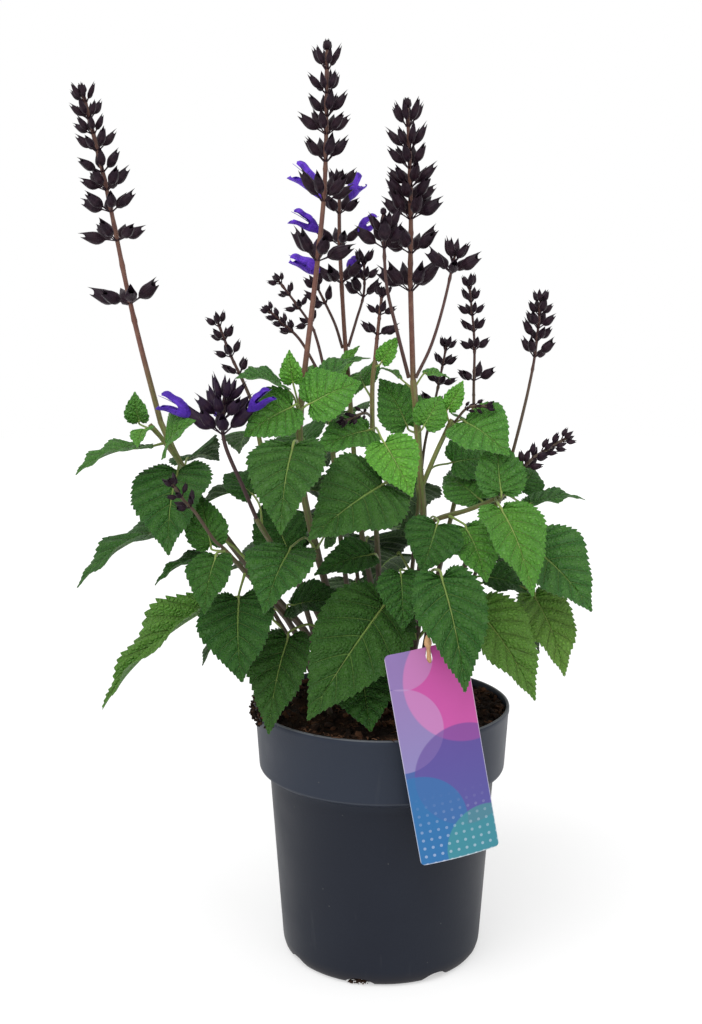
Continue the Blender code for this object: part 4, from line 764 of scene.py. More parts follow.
def blade_from_plan(plan, curve, index):
    """The heel, tip and shape of a blade, in metres, from its plan in millimetres."""
    node, _ = at_height(curve, plan["height"] * MM)
    if "compass" in plan:
        away = around_axis(1, math.radians(plan["compass"]))
        length = plan["length"] * MM
        heel = node + plan["stalk"] * length * (away * 0.88 + Vector((0, 0, 0.48)))
        drop = math.radians(plan["droop"])
        tip = heel + length * (away * math.cos(drop) - Vector((0, 0, math.sin(drop))))
    else:
        heel = Vector(plan["heel"]) * MM
        tip = Vector(plan["tip"]) * MM
    along, across, upper = leaf_frame(plan, heel, tip)
    return {"node": node, "heel": heel, "length": (tip - heel).length, "width": plan["width"] * MM,
            "along": along, "across": across, "upper": upper, "fold": plan["fold"],
            "arch": plan["arch"], "phase": 2.4 * index, "index": index,
            "young": plan["young"], "pale": plan["pale"]}


def turned(blade, yaw, pitch, push):
    """A copy of a blade, turned about its heel and pushed out from the stem."""
    changed = dict(blade)
    turn = Quaternion(UP, math.radians(yaw))
    turn = turn @ Quaternion(blade["across"], math.radians(pitch))
    for key in ("along", "across", "upper"):
        changed[key] = turn @ blade[key]
    changed["heel"] = blade["heel"] + push * MM * blade["along"]
    return changed


def tries():
    """Small changes of a leaf's place, the smallest first."""
    changes = []
    for yaw in (0, -8, 8, -16, 16, -26, 26, -38, 38, -52, 52, -70, 70):
        for pitch in (0, -7, 7, -14, 14, -22, 22, -32, 32, -45, 45):
            for push in (0, 4, -4, 8):
                changes.append((abs(yaw) + abs(pitch) + 3 * abs(push), yaw, pitch, push))
    return [change[1:] for change in sorted(changes)]


LARGEST_MISS = 1.0 * MM


def settled(wanted, corners, changes):
    """The place that a leaf has in the part's own solid, found by the corners of its edge."""
    best = None
    for change in changes:
        blade = turned(wanted, *change)
        miss = sum(corners.find(point)[2] for point in solid_edge(blade))
        if best is None or miss < best[0]:
            best = (miss, blade)
    miss, blade = best
    mean = miss / len(solid_edge(blade))
    if mean > LARGEST_MISS:
        raise RuntimeError(f"leaf {wanted['index']} isn't where the solid has it: {mean}")
    return blade


def neck_length(blade):
    """How far a petiole runs straight behind the heel, clear of the blade's lobes."""
    return 1.5 * MM + 0.05 * blade["length"]


def petiole_curve(blade, stem_radius):
    """A petiole's bent line, from inside its stem to the heel of the blade."""
    node = blade["node"]
    neck = blade["heel"] - neck_length(blade) * (blade["along"] + 0.4 * blade["upper"])
    span = (neck - node).length
    away = Vector((neck.x - node.x, neck.y - node.y, 0)).normalized()
    root = node + 0.2 * stem_radius * away
    if span < SHORT_PETIOLE:
        return [root, neck, blade["heel"]]
    bend = 0.16 * span * (UP - 0.4 * blade["along"]).normalized()
    return [root, node.lerp(neck, 0.5) + bend, neck, blade["heel"]]


# Rows of a blade from its midrib to its edge, and the four stations of a tooth
BLADE_ROWS = (0, 0.045, 0.13, 0.25, 0.38, 0.51, 0.64, 0.76, 0.87, 0.95, 1.0)
TOOTH = ((0.0, 0.0), (0.36, 0.52), (0.70, 1.0), (0.86, 0.62))
FIRST_TOOTH = 0.07
LAST_TOOTH = 0.985
MOST_TEETH = 27
FEWEST_TEETH = 7
VEINS = 11
MIDRIB_STATIONS = (0.05, 0.12, 0.2, 0.3, 0.42, 0.55, 0.68)


def edge_stations(blade, settings, draw):
    """Where the columns of a blade meet its edge, and how far a tooth stands out there."""
    run = 1.35 * blade["length"]
    teeth = min(max(round(run / settings.tooth_spacing), FEWEST_TEETH), MOST_TEETH)
    size = min(blade["length"] / (70 * MM), 1.0) ** 0.7 * settings.tooth_depth
    stations = [(0.0, 0.0), (FIRST_TOOTH * 0.5, 0.0)]
    width = (LAST_TOOTH - FIRST_TOOTH) / teeth
    for index in range(teeth):
        depth = size * draw.uniform(0.75, 1.25)
        for phase, height in TOOTH:
            stations.append((FIRST_TOOTH + (index + phase) * width, depth * height))
    stations.append((LAST_TOOTH, 0.0))
    stations.append((1.0, 0.0))
    return stations


def midrib_share(run):
    """Where the side vein that meets the edge at a share of its run leaves the midrib."""
    return max((run - 0.40) / 0.60, 0.0) ** 1.3


def fine_point(blade, run, tooth, side, row):
    """A point of a fine blade; run is the share of the edge's run that its column meets."""
    length = blade["length"]
    half = blade["width"] / 2
    t, v = outline_point(run)
    if tooth and row == 1.0:
        ahead = outline_point(min(run + 0.01, 1.0))
        behind = outline_point(max(run - 0.01, 0.0))
        tangent = Vector(((ahead[0] - behind[0]) * length, (ahead[1] - behind[1]) * half, 0))
        tangent.normalize()
        taper = min(1.0, 0.35 + v)
        shift = tooth * taper * (Vector((-tangent.y, tangent.x, 0)) + 0.35 * tangent)
        t += shift.x / length
        v += shift.y / half
    start = midrib_share(run)
    t_here = start + (t - start) * row ** 1.2
    v_here = v * row
    point = blade_point(blade, t_here, side * v_here)
    vein = math.sin(math.pi * VEINS * run)
    between = vein * vein * math.sin(math.pi * min(row * 1.02, 1.0)) ** 0.6
    quilt = 0.026 * length * (between - 0.5) * min(1.0, 3 * v)
    groove = -0.006 * length * math.exp(-((v_here * half) / (0.05 * length)) ** 2)
    edge_wave = 0.018 * length * row ** 3 * math.sin(2 * math.pi * 4.5 * run + blade["phase"])
    return point + blade["upper"] * (quilt + groove + edge_wave * min(1.0, 3 * v))


def leaf_tone_and_painted_shade(blade):
    """How dark a leaf is: by chance, with painted shade low down and behind, and less so when
    young.
    """
    middle = blade_point(blade, 0.5, 0)
    # Painted shade: leaves low down and towards the left, and low leaves behind, are made darker.
    painted_shade_low = smoothstep(0.37, 0.26, middle.z + 0.3 * middle.x)
    behind = smoothstep(-0.02, 0.03, middle.y) * smoothstep(0.40, 0.30, middle.z)
    variety = random.Random(blade["index"]).uniform(-0.1, 0.65)
    variety += 0.85 * painted_shade_low + 0.35 * behind
    return variety * (1 - 0.7 * blade["young"])


def fine_leaf(bm, layers, blade, settings):
    """A toothed, quilted blade as a thin closed shell, pale underneath."""
    stations = {side: edge_stations(blade, settings, random.Random(2 * blade["index"] + side))
                for side in (-1, 1)}
    # variety holds a leaf's darkness by chance together with its painted shade.
    variety = leaf_tone_and_painted_shade(blade)
    upper = [-row for row in BLADE_ROWS[:0:-1]] + list(BLADE_ROWS)
    around = upper + upper[::-1] + upper[:1]
    under = [0] * len(upper) + [1] * len(upper) + [0]
    last = len(stations[1]) - 1

    def place(column, row):
        reach = around[column]
        side = -1 if reach < 0 else 1
        run, tooth = stations[side][row]
        point = fine_point(blade, run, tooth, side, abs(reach))
        return point - under[column] * settings.thickness * blade["upper"]

    def tone(column, row):
        return (blade["young"], blade["pale"], variety, 1.0)

    vertices, faces = patch(bm, len(around) - 1, last, place, layers, tone)
    for face in faces:
        columns = [round(loop[layers["uv"]].uv[0] * (len(around) - 1)) for loop in face.loops]
        face.material_index = int(min(columns) >= len(upper) - 1)
        for loop, column in zip(face.loops, columns):
            row = round(loop[layers["uv"]].uv[1] * last)
            loop[layers["uv"]].uv = (stations[1][row][0], around[column])
    if sum(face.normal.dot(blade["upper"]) * (1 - 2 * face.material_index)
           for face in faces if not face.normal_update()) < 0:
        bmesh.ops.reverse_faces(bm, faces=faces)
    weld(bm, vertices)


def fine_petiole(bm, layers, blade, stem_radius, node):
    """A petiole that runs on as the raised midrib under its blade."""
    half = PETIOLE_HALF + 0.006 * blade["length"]
    moved = dict(blade, node=node)
    run = spline(petiole_curve(moved, stem_radius), 5)
    under = 0.006 * blade["length"] + 0.75 * MM
    heel = len(run) - 1
    for t in MIDRIB_STATIONS:
        run.append(blade_point(blade, t, 0) - blade["upper"] * under)
    last = len(run) - 1

    def radius(share):
        index = share * last
        if index <= heel:
            return half * (1.35 - 0.45 * min(index / max(heel * 0.25, 1), 1))
        left = (index - heel) / (last - heel)
        return max(min(half * 0.75, 0.55 * MM) * (1 - left) ** 0.8, 0.14 * MM)

    def tone(share):
        return (0.10 * (1 - share), 0.55 + 0.4 * blade["young"], 0.0, 1.0)

    stem_tube(bm, layers, run, radius, tone, sides=7, squareness=0.0)


def leaf_veins(tree, run, reach):
    """How far a point lies between two side veins, and how much it is on a vein.

    Side veins stand at whole numbers of the run, and the midrib at the middle.
    """
    beat = calc(tree, "PINGPONG", times(tree, run, float(VEINS)), 0.5)
    thin = step_between(tree, reach, 0.0, 1.0, 0.075, 0.035)
    side_vein = times(tree, step_between(tree, beat, thin, 0.0),
                      step_between(tree, reach, 0.98, 0.80))
    midrib = step_between(tree, reach, 0.055, 0.02)
    return beat, calc(tree, "MAXIMUM", midrib, side_vein)


def leaf_green(tree, settings, young, pale, reach, is_under):
    """The plain green of a leaf's face, by its age."""
    if is_under:
        base = blend(tree, times(tree, young, 0.5), settings.under, settings.young)
        return blend(tree, times(tree, pale, 0.4), base, settings.old)
    base = blend(tree, young, settings.mature, settings.young)
    centre = times(tree, young, step_between(tree, reach, 0.75, 0.2))
    base = blend(tree, times(tree, centre, 0.25), base, (0.17, 0.42, 0.03))
    return blend(tree, pale, base, settings.old)


def leaf_material(name, settings, is_under):
    """One face of a leaf: green by its age, patchy, with veins, a fine net and puffed cells;
    painted highlight on the cells, painted shade in the net and on low leaves.
    """
    material, tree, shader = new_material(name)
    run, across = uv_parts(tree)
    young, pale, variety = tone_parts(tree)
    place = place_of(tree)
    reach = calc(tree, "ABSOLUTE", across)
    beat, vein = leaf_veins(tree, run, reach)
    net = put(tree, "TexVoronoi", {"Vector": place, "Scale": 390.0},
              feature="DISTANCE_TO_EDGE").outputs["Distance"]
    base = leaf_green(tree, settings, young, pale, reach, is_under)
    light = blend(tree, 0.6, base, (0.17, 0.42, 0.055))
    patchy = step_between(tree, noise_on(tree, place, 70.0, 3.0), 0.3, 0.7)
    base = blend(tree, times(tree, patchy, 0.22), base, light)
    # Painted highlight: the puffed cells between the side veins are made lighter.
    hill = step_between(tree, beat, 0.06, 0.42)
    base = blend(tree, times(tree, hill, 0.05 if is_under else 0.34), base, light)
    # dark is the colour of painted shade and of leaves darker by chance; shade carries both.
    dark = blend(tree, 0.80, base, (0.0042, 0.019, 0.0032))
    shade = times(tree, step_between(tree, variety, -0.55, 1.55, -0.35, 1.25),
                  step_between(tree, pale, 0.0, 1.0, 0.75, 0.2))
    base = blend(tree, shade, base, dark)
    # Painted shade: the grooves of the fine net are made darker.
    small_net = step_between(tree, net, 0.16, 0.02)
    base = blend(tree, times(tree, small_net, 0.10 if is_under else 0.40), base, dark)
    near = times(tree, step_between(tree, reach, 1.0, 0.0, 0.34, 0.46),
                 step_between(tree, variety, 0.2, 1.2, 1.0, 0.65))
    near = calc(tree, "ADD", near, times(tree, young, 0.32))
    base = blend(tree, times(tree, vein, 0.75 if is_under else near), base, settings.vein)
    shine = step_between(tree, variety, 0.3, 1.2, 0.34, 0.17)
    feed_all(tree, shader, {
        "Base Color": base, "Roughness": 0.65 if is_under else 0.47,
        "Specular IOR Level": 0.20 if is_under else shine,
        "Sheen Weight": 0.12 if is_under else 0.02, "Sheen Roughness": 0.5,
        "Sheen Tint": (0.8, 1.0, 0.7), "Subsurface Weight": 0.12,
        "Subsurface Radius": (0.4, 1.0, 0.2), "Subsurface Scale": 0.0012})
    puff = step_between(tree, net, 0.0, 0.4)
    if is_under:
        height = calc(tree, "ADD", times(tree, puff, -0.35), vein)
    else:
        height = calc(tree, "SUBTRACT", times(tree, puff, 0.8), vein)
    bump(tree, shader, height, 1.0, 0.0011)
    return material


def stem_material(settings):
    """A square stem, from green to mahogany by its tone, with fine pale streaks."""
    material, tree, shader = new_material("stem_skin")
    brown, light, dark = tone_parts(tree)
    around, _ = uv_parts(tree)
    ridge = calc(tree, "PINGPONG", times(tree, around, 4.0), 0.5)
    streak = noise_on(tree, place_of(tree), 260.0, 3.0)
    edge = times(tree, step_between(tree, ridge, 0.30, 0.5, 0.0, 0.75),
                 step_between(tree, light, 0.5, 0.2))
    green = blend(tree, light, settings.green, (0.22, 0.34, 0.06))
    green = blend(tree, edge, green, settings.brown)
    base = blend(tree, brown, green, settings.brown)
    base = blend(tree, dark, base, settings.dark)
    pale = blend(tree, 0.35, base, (0.34, 0.20, 0.12))
    streaks = times(tree, step_between(tree, streak, 0.35, 0.75, 0.0, 0.6),
                    step_between(tree, dark, 0.3, 1.0, 1.0, 0.25))
    base = blend(tree, streaks, base, pale)
    feed_all(tree, shader, {"Base Color": base, "Roughness": 0.55, "Specular IOR Level": 0.35,
                            "Sheen Weight": 0.15})
    bump(tree, shader, streak, 0.35, 0.0003)
    return material


def leafy_stem(name, plan, index, corners, changes, settings, materials):
    """One leafy stem with its side shoots, petioles and leaves."""
    bm, layers = start_mesh()
    thick, thin = (size * MM for size in plan["thickness"])
    curves = [stem_curve(route) for route in plan["routes"]]
    smooth = [spline([Vector(point) * MM for point in route], 6) for route in plan["routes"]]
    heights = [leaf_plan["height"] * MM for leaf_plan in plan["leaves"]]
    for number, curve in enumerate(smooth):
        low, high = (thick, thin) if number == 0 else (0.85 * thin, 0.7 * thin)
        knots = [height for height, leaf_plan in zip(heights, plan["leaves"])
                 if leaf_plan["on"] == number]
        last = len(curve) - 1

        def radius(share, low=low, high=high, curve=curve, knots=knots, last=last):
            height = curve[round(share * last)].z
            swell = sum(math.exp(-((height - knot) / (2.5 * MM)) ** 2) for knot in knots)
            return (low + (high - low) * share) * (0.97 + 0.16 * min(swell, 1.0))

        def tone(share, curve=curve, last=last):
            height = curve[round(share * last)].z
            brown = smoothstep(0.33, 0.40, height) * 0.5 + 0.08
            # The third channel darkens the stem below the leaves: painted shade.
            return (brown, 0.25, 0.85 * (1 - smoothstep(0.25, 0.34, height)), 1.0)

        stem_tube(bm, layers, curve, radius, tone, sides=16, squareness=0.12)
    for face in bm.faces:
        face.material_index = 2
    for leaf_plan in plan["leaves"]:
        index += 1
        wanted = blade_from_plan(leaf_plan, curves[leaf_plan["on"]], index)
        blade = settled(wanted, corners, changes)
        done = set(bm.faces)
        node, _ = at_height(smooth[leaf_plan["on"]], leaf_plan["height"] * MM)
        fine_petiole(bm, layers, blade, thin, node)
        for face in bm.faces:
            if face not in done:
                face.material_index = 2
        fine_leaf(bm, layers, blade, settings)
    finish_piece(bm, name + "_leafy", materials, [name])
    return index


# Flower spikes


def calyx_directions(plan, index, number, curve, draw):
    """The outward and upward directions, length and half width of one calyx of a whorl."""
    shares = plan["whorls"]
    _, direction = along_curve(curve, shares[index])
    first, second = section_axes(direction)
    late = (shares[index] - shares[0]) / (shares[-1] - shares[0])
    loose = 1 - 0.85 * late
    turn = math.pi * (2 * number + 1 + index) / plan["sides"]
    turn += math.radians(9 * loose * draw.uniform(-1, 1))
    low, high = plan["rise"]
    rise = low + (high - low) * late * late + 10 * loose * draw.uniform(-1, 1)
    rise = math.radians(min(rise, STEEPEST_CALYX))
    radial = round_about(turn, first, second)
    out = math.cos(rise) * radial + math.sin(rise) * direction
    up = math.cos(rise) * direction - math.sin(rise) * radial
    large, small = plan["calyx"]
    length = (large + (small - large) * late) * MM * draw.uniform(0.88, 1.1)
    reach = KNOT_RADIUS + 0.54 * length * math.cos(rise)
    width = min(0.19 * length, 0.70 * reach * math.sin(math.pi / plan["sides"]))
    return out, up, length, width


def calyces_of(name, plan):
    """Every calyx of a spike: whorl, root, directions, length, half width and how late it is."""
    draw = random.Random(name)
    curve = spline([Vector(point) * MM for point in plan["route"]], 4)
    sides = plan["sides"]
    low, high = plan["thickness"]
    found = []
    for index, share in enumerate(plan["whorls"]):
        centre, direction = along_curve(curve, share)
        first, second = section_axes(direction)
        radius = (low + (high - low) * share) * 1.35 * MM + 0.4 * MM
        late = (share - plan["whorls"][0]) / (plan["whorls"][-1] - plan["whorls"][0])
        for number in range(sides):
            out, up, length, width = calyx_directions(plan, index, number, curve, draw)
            turn = math.pi * (2 * number + 1 + index) / sides
            root = centre + radius * math.cos(math.pi / sides) * round_about(turn, first, second)
            found.append({"whorl": index, "root": root, "out": out, "up": up, "length": length,
                          "width": width, "late": late})
    return found


def calyx_facing(calyces, whorl, compass):
    """The calyx of a whorl that points nearest to a compass direction."""
    wanted = around_axis(1, math.radians(compass))
    return max((calyx for calyx in calyces if calyx["whorl"] == whorl),
               key=lambda calyx: calyx["out"].dot(wanted))


# A calyx from its stalk to its tips: share of its length, share of its half width
CALYX_PROFILE = ((0.19, 0.18), (0.23, 0.42), (0.29, 0.68), (0.37, 0.90), (0.46, 1.0),
                 (0.56, 0.96), (0.66, 0.81), (0.76, 0.61), (0.85, 0.42), (0.92, 0.28),
                 (0.97, 0.15), (1.02, 0.04))
CALYX_STALK = 0.19
CALYX_BEND = 0.46
LOWER_TEETH = (-118, -62)
TOOTH_SPREAD = 29
LIP_STEPS = (0.17, 0.34, 0.50, 0.64, 0.77, 0.89, 1.0)


def calyx_size(share):
    """A calyx's half width at a share of its length, by its profile."""
    for (low, first), (high, second) in zip(CALYX_PROFILE, CALYX_PROFILE[1:]):
        if share <= high:
            return first + (second - first) * max(share - low, 0.0) / (high - low)
    return CALYX_PROFILE[-1][1]


def lip_reach(turn):
    """How far the mouth of a calyx reaches: one pointed upper lip and two lower teeth."""
    up = max(math.sin(turn), 0.0) ** 2
    low = 0.0
    for centre in LOWER_TEETH:
        apart = (math.degrees(turn) - centre + 180) % 360 - 180
        low = max(low, math.exp(-(apart / TOOTH_SPREAD) ** 2))
    return 0.77 + 0.25 * up + 0.17 * low


def fine_calyx(bm, layers, calyx, opening, variety, pedicel, around,
               stalk=CALYX_STALK):
    """A ribbed, two-lipped calyx on a short stalk, hollow at its mouth."""
    length, width = calyx["length"], calyx["width"]
    out, up = calyx["out"], calyx["up"]
    across = out.cross(up)
    stations = [(-0.06, None, 0), (-0.06, pedicel * 1.3, 0), (0.06, pedicel, 0),
                (stalk - 0.04, pedicel, 0)]
    stations += [(share, size * width, 0) for share, size in CALYX_PROFILE[:5]]
    stations += [(step, step, 1) for step in LIP_STEPS]
    stations += [(0.70, 0.34 * width, 2), (0.58, 0.26 * width, 2), (0.50, None, 2)]
    last = len(stations) - 1

    def place(column, row):
        share, size, part = stations[row]
        turn = 2 * math.pi * column / around - math.pi / 2
        sine = math.sin(turn)
        apart = 0.0
        if part == 1:
            share = CALYX_BEND + share * (lip_reach(turn) - CALYX_BEND)
            size = calyx_size(share) * width
            apart = max(share - 0.6, 0.0) ** 1.3 * (1.9 if sine > 0 else -2.3)
            apart *= (0.12 + opening) * width * min(1.0, 2 * abs(sine))
        if row > 3:
            share = stalk + (share - CALYX_STALK) * (1 - stalk) / (1 - CALYX_STALK)
        lift = (0.05 * share * share + 0.05 * max(share - 0.6, 0.0)) * length
        centre = calyx["root"] + share * length * out + lift * up
        if size is None:
            return centre
        if row > 3:
            size *= 1 + 0.05 * math.cos(around * (turn + math.pi / 2) / 2)
        tall = 1.0 + 0.04 * (row > 3)
        return (centre + size * math.cos(turn) * across
                + (size * tall * sine + apart) * up)

    def tone(column, row):
        share, _, part = stations[row]
        # The third channel marks the inside of the mouth, which gets painted shade.
        return (max(share, 0.0), variety, float(part == 2), 1.0)

    vertices, _ = patch(bm, around, last, place, layers, tone)
    weld(bm, vertices)


# Thinner spikes than this, in millimetres, stand on side stems
MAIN_SPIKE = 1.25
SPIKE_FOOT = 1.6 * MM
TIP_BUDS = 5


def whorled_calyx(bm, layers, calyx, settings, draw, bears, violet):
    """A calyx of a whorl, a little varied, and wide open where it bears a corolla."""
    full = calyx["length"] > SMALL_CALYX
    opening = max(0.0, 1 - 1.1 * calyx["late"]) * draw.uniform(0.1, 1.0) ** 1.6
    if bears:
        opening = 1.1
    bent = dict(calyx)
    bent["width"] = calyx["width"] * draw.uniform(0.88, 1.04)
    bent["length"] = calyx["length"] * (draw.uniform(1.04, 1.13) if full else 1.02)
    if opening < 1:
        lean = math.radians(draw.uniform(-16, 6))
        bent["out"] = round_about(lean, calyx["out"], calyx["up"])
        bent["up"] = math.cos(lean) * calyx["up"] - math.sin(lean) * calyx["out"]
    variety = draw.uniform(0, 1) + 2 * violet
    pedicel = min(settings.pedicel_radius, 0.3 * calyx["width"])
    stalk = CALYX_STALK
    if full:
        stalk += 0.09 * (1 - calyx["late"]) * draw.uniform(0.4, 1.0)
    fine_calyx(bm, layers, bent, opening if full else 0.25 * opening, variety, pedicel,
               16 if full else 12, stalk)


def tip_buds(bm, layers, curve, size, draw):
    """The closed buds that stand together at the tip of a spike."""
    end, direction = along_curve(curve, 1.0)
    first, second = section_axes(direction)
    for number in range(TIP_BUDS):
        lean = 0.30 * round_about(2 * math.pi * number / TIP_BUDS, first, second)
        out = (direction + lean).normalized()
        up = (direction - lean.dot(direction) * out).normalized()
        up = (up - up.dot(out) * out).normalized()
        bud = {"root": end - 0.72 * size * direction, "out": out, "up": up, "length": size,
               "width": 0.22 * size}
        fine_calyx(bm, layers, bud, 0.0, draw.uniform(0, 1), 0.4 * MM, 8)


def spike_piece(name, plan, settings, bearing, materials):
    """A flower stem with its whorls of fine calyces, whose foot reaches into its leafy stem."""
    bm, layers = start_mesh()
    draw = random.Random(name + "_looks")
    curve = spline([Vector(point) * MM for point in plan["route"]], 14)
    curve[0] -= SPIKE_FOOT * (curve[1] - curve[0]).normalized()
    low, high = plan["thickness"]
    shares = plan["whorls"]
    last = len(curve) - 1
    violet = name == VIOLET_SPIKE

    def radius(share):
        knot = sum(math.exp(-((share - whorl) / 0.012) ** 2) for whorl in shares)
        return (low + (high - low) * share + 0.35 * min(knot, 1.0)) * MM

    def tone(share):
        height = curve[round(share * last)].z
        dark = 0.15 + 0.40 * smoothstep(0.4, 1.0, share)
        if low < MAIN_SPIKE:
            dark = 1.0 if violet else 0.8
        return (0.45 + 0.55 * smoothstep(0.365, 0.405, height), 0.3, dark, 1.0)

    stem_tube(bm, layers, curve, radius, tone, sides=12, squareness=0.10)
    stem_faces = len(bm.faces)
    for calyx in calyces_of(name, plan):
        bears = any((calyx["root"] - other["root"]).length < 0.1 * MM for other in bearing)
        whorled_calyx(bm, layers, calyx, settings, draw, bears, violet)
    tip_buds(bm, layers, curve, (8.2 if low > MAIN_SPIKE else 5.6) * MM, draw)
    bm.faces.ensure_lookup_table()
    for index, face in enumerate(bm.faces):
        face.material_index = int(index >= stem_faces)
    finish_piece(bm, name + "_whorls", materials, [name])


def calyx_material(settings):
    """The near-black purple skin of a calyx, paler along its ribs, with painted shade inside its
    mouth.
    """
    material, tree, shader = new_material("calyx_skin")
    share, variety, inner = tone_parts(tree)
    around, _ = uv_parts(tree)
    grain = noise_on(tree, place_of(tree), 420.0, 4.0)
    rib = calc(tree, "PINGPONG", times(tree, around, 8.0), 0.5)
    rib_line = step_between(tree, rib, 0.16, 0.0)
    base = settings.calyx
    for factor, colour in (
            (step_between(tree, variety, 0.0, 1.0, 0.0, 0.40), (0.022, 0.009, 0.014)),
            (step_between(tree, variety, 1.0, 2.0, 0.0, 0.6), (0.016, 0.006, 0.030)),
            (step_between(tree, share, 0.55, 0.0, 0.0, 0.5), (0.030, 0.010, 0.014)),
            (times(tree, rib_line, 0.35), settings.calyx_light),
            (step_between(tree, grain, 0.45, 0.75, 0.0, 0.40), settings.calyx_light),
            # Painted shade inside the calyx's mouth.
            (inner, (0.005, 0.003, 0.005))):
        base = blend(tree, factor, base, colour)
    feed_all(tree, shader, {"Base Color": base, "Roughness": 0.46, "Specular IOR Level": 0.15,
                            "Sheen Weight": 0.04, "Sheen Roughness": 0.4,
                            "Sheen Tint": (0.75, 0.68, 0.78)})
    bump(tree, shader, calc(tree, "ADD", times(tree, rib_line, 0.7), grain), 0.45, 0.0003)
    return material


# Corollas


THROAT_SHARE = 0.34
COROLLA_AROUND = 36
TUBE_ROWS = 10
LIP_ROWS = 14
LARGE_COROLLA = 29
LOW_COROLLA = 0.4


def corolla_shape(name, calyx, length):
    """The place, directions and proportions of a corolla, varied by its name."""
    draw = random.Random(name)
    out, up, size = calyx["out"], calyx["up"], calyx["length"]
    mouth = 0.33 * size
    return {"out": out, "up": up, "across": out.cross(up).normalized(), "mouth": mouth,
            "start": calyx["root"] + (0.58 * size + 0.6 * MM) * out, "beyond": length * MM - mouth,
            "bulk": 1.16 if length > LARGE_COROLLA else 1.04,
            "gape": 0.16 if name in CLOSED_COROLLAS else draw.uniform(0.80, 1.0),
            "skew": draw.uniform(-0.04, 0.04),
            "deep": 0.55 if calyx["root"].z < LOW_COROLLA else draw.uniform(0.0, 0.15)}


def corolla_axis(shape, share, lift):
    """A point on a corolla's middle line, lifted by a share of its length."""
    beyond = shape["beyond"]
    return (shape["start"] + (shape["mouth"] + share * beyond) * shape["out"]
            + lift * beyond * shape["up"]
            + shape["skew"] * max(share, 0.0) ** 2 * beyond * shape["across"])


def tube_point(shape, turn, q):
    """A point of the tube, from inside the calyx at q 0 to the throat at q 1."""
    share = -0.94 * shape["mouth"] / shape["beyond"] * (1 - q) + THROAT_SHARE * q
    swell = smoothstep(-0.2, THROAT_SHARE, share)
    wide = (1.1 + (3.7 * shape["bulk"] - 1.1) * swell) * MM
    tall = (0.9 + (4.2 * shape["bulk"] - 0.9) * swell) * MM
    return (corolla_axis(shape, share, 0.03 * swell) + wide * math.cos(turn) * shape["across"]
            + tall * math.sin(turn) * shape["up"])


def upper_lip(shape, turn, q):
    """A point of the hooded upper lip, from the throat at q 0 to its tip at q 1."""
    bulk = shape["bulk"]
    share = THROAT_SHARE + (1.0 - 0.04 * abs(math.cos(turn)) - THROAT_SHARE) * q
    lift = 0.03 + 0.15 * shape["gape"] * math.sin(0.5 * math.pi * q) ** 0.8
    narrow = math.sqrt(max(1 - max((q - 0.74) / 0.27, 0.0) ** 2, 0.0))
    wide = bulk * (3.7 - 0.7 * smoothstep(0.0, 0.4, q)) * narrow * MM
    tall = bulk * (4.2 - 0.9 * smoothstep(0.0, 0.5, q)) * narrow * MM
    droop = (1.1 * smoothstep(0.1, 0.6, q) + 0.9 * max(q - 0.75, 0.0) / 0.25) * MM
    return (corolla_axis(shape, share, lift) + wide * math.cos(turn) * shape["across"]
            + (tall * math.sin(turn) - droop) * shape["up"])


def lower_lip(shape, turn, q):
    """A point of the broad, notched lower lip, from the throat at q 0 to its edge at q 1."""
    sine, cosine = math.sin(turn), math.cos(turn)
    bulk = shape["bulk"]
    notch = 0.09 * math.exp(-((abs(sine) - 1) / 0.03) ** 2)
    reach = q * (1 - (notch + 0.16 * abs(cosine) ** 3) * q * q)
    share = THROAT_SHARE + (0.96 - THROAT_SHARE) * reach
    lift = 0.03 - 0.25 * shape["gape"] * reach ** 1.15
    narrow = math.sqrt(max(1 - max((q - 0.74) / 0.32, 0.0) ** 2, 0.0))
    wide = bulk * (3.7 + 1.6 * smoothstep(0.1, 0.6, q)) * narrow * MM
    tall = bulk * (4.2 - 1.6 * smoothstep(0.0, 0.6, q)) * MM
    ruffle = 0.4 * MM * q * math.sin(5 * turn + 4 * q)
    return (corolla_axis(shape, share, lift) + wide * cosine * shape["across"]
            + (tall * sine + ruffle) * shape["up"])


def corolla_slit(faces, layers):
    """The faces between the two lips, which part them."""
    beside = (0, COROLLA_AROUND // 2 - 1, COROLLA_AROUND // 2, COROLLA_AROUND - 1)
    slit = []
    for face in faces:
        corners = [loop[layers["uv"]].uv for loop in face.loops]
        column = min(round(uv[0] * COROLLA_AROUND) for uv in corners)
        row = min(round(uv[1] * (TUBE_ROWS + LIP_ROWS)) for uv in corners)
        if row >= TUBE_ROWS and column in beside:
            slit.append(face)
    return slit


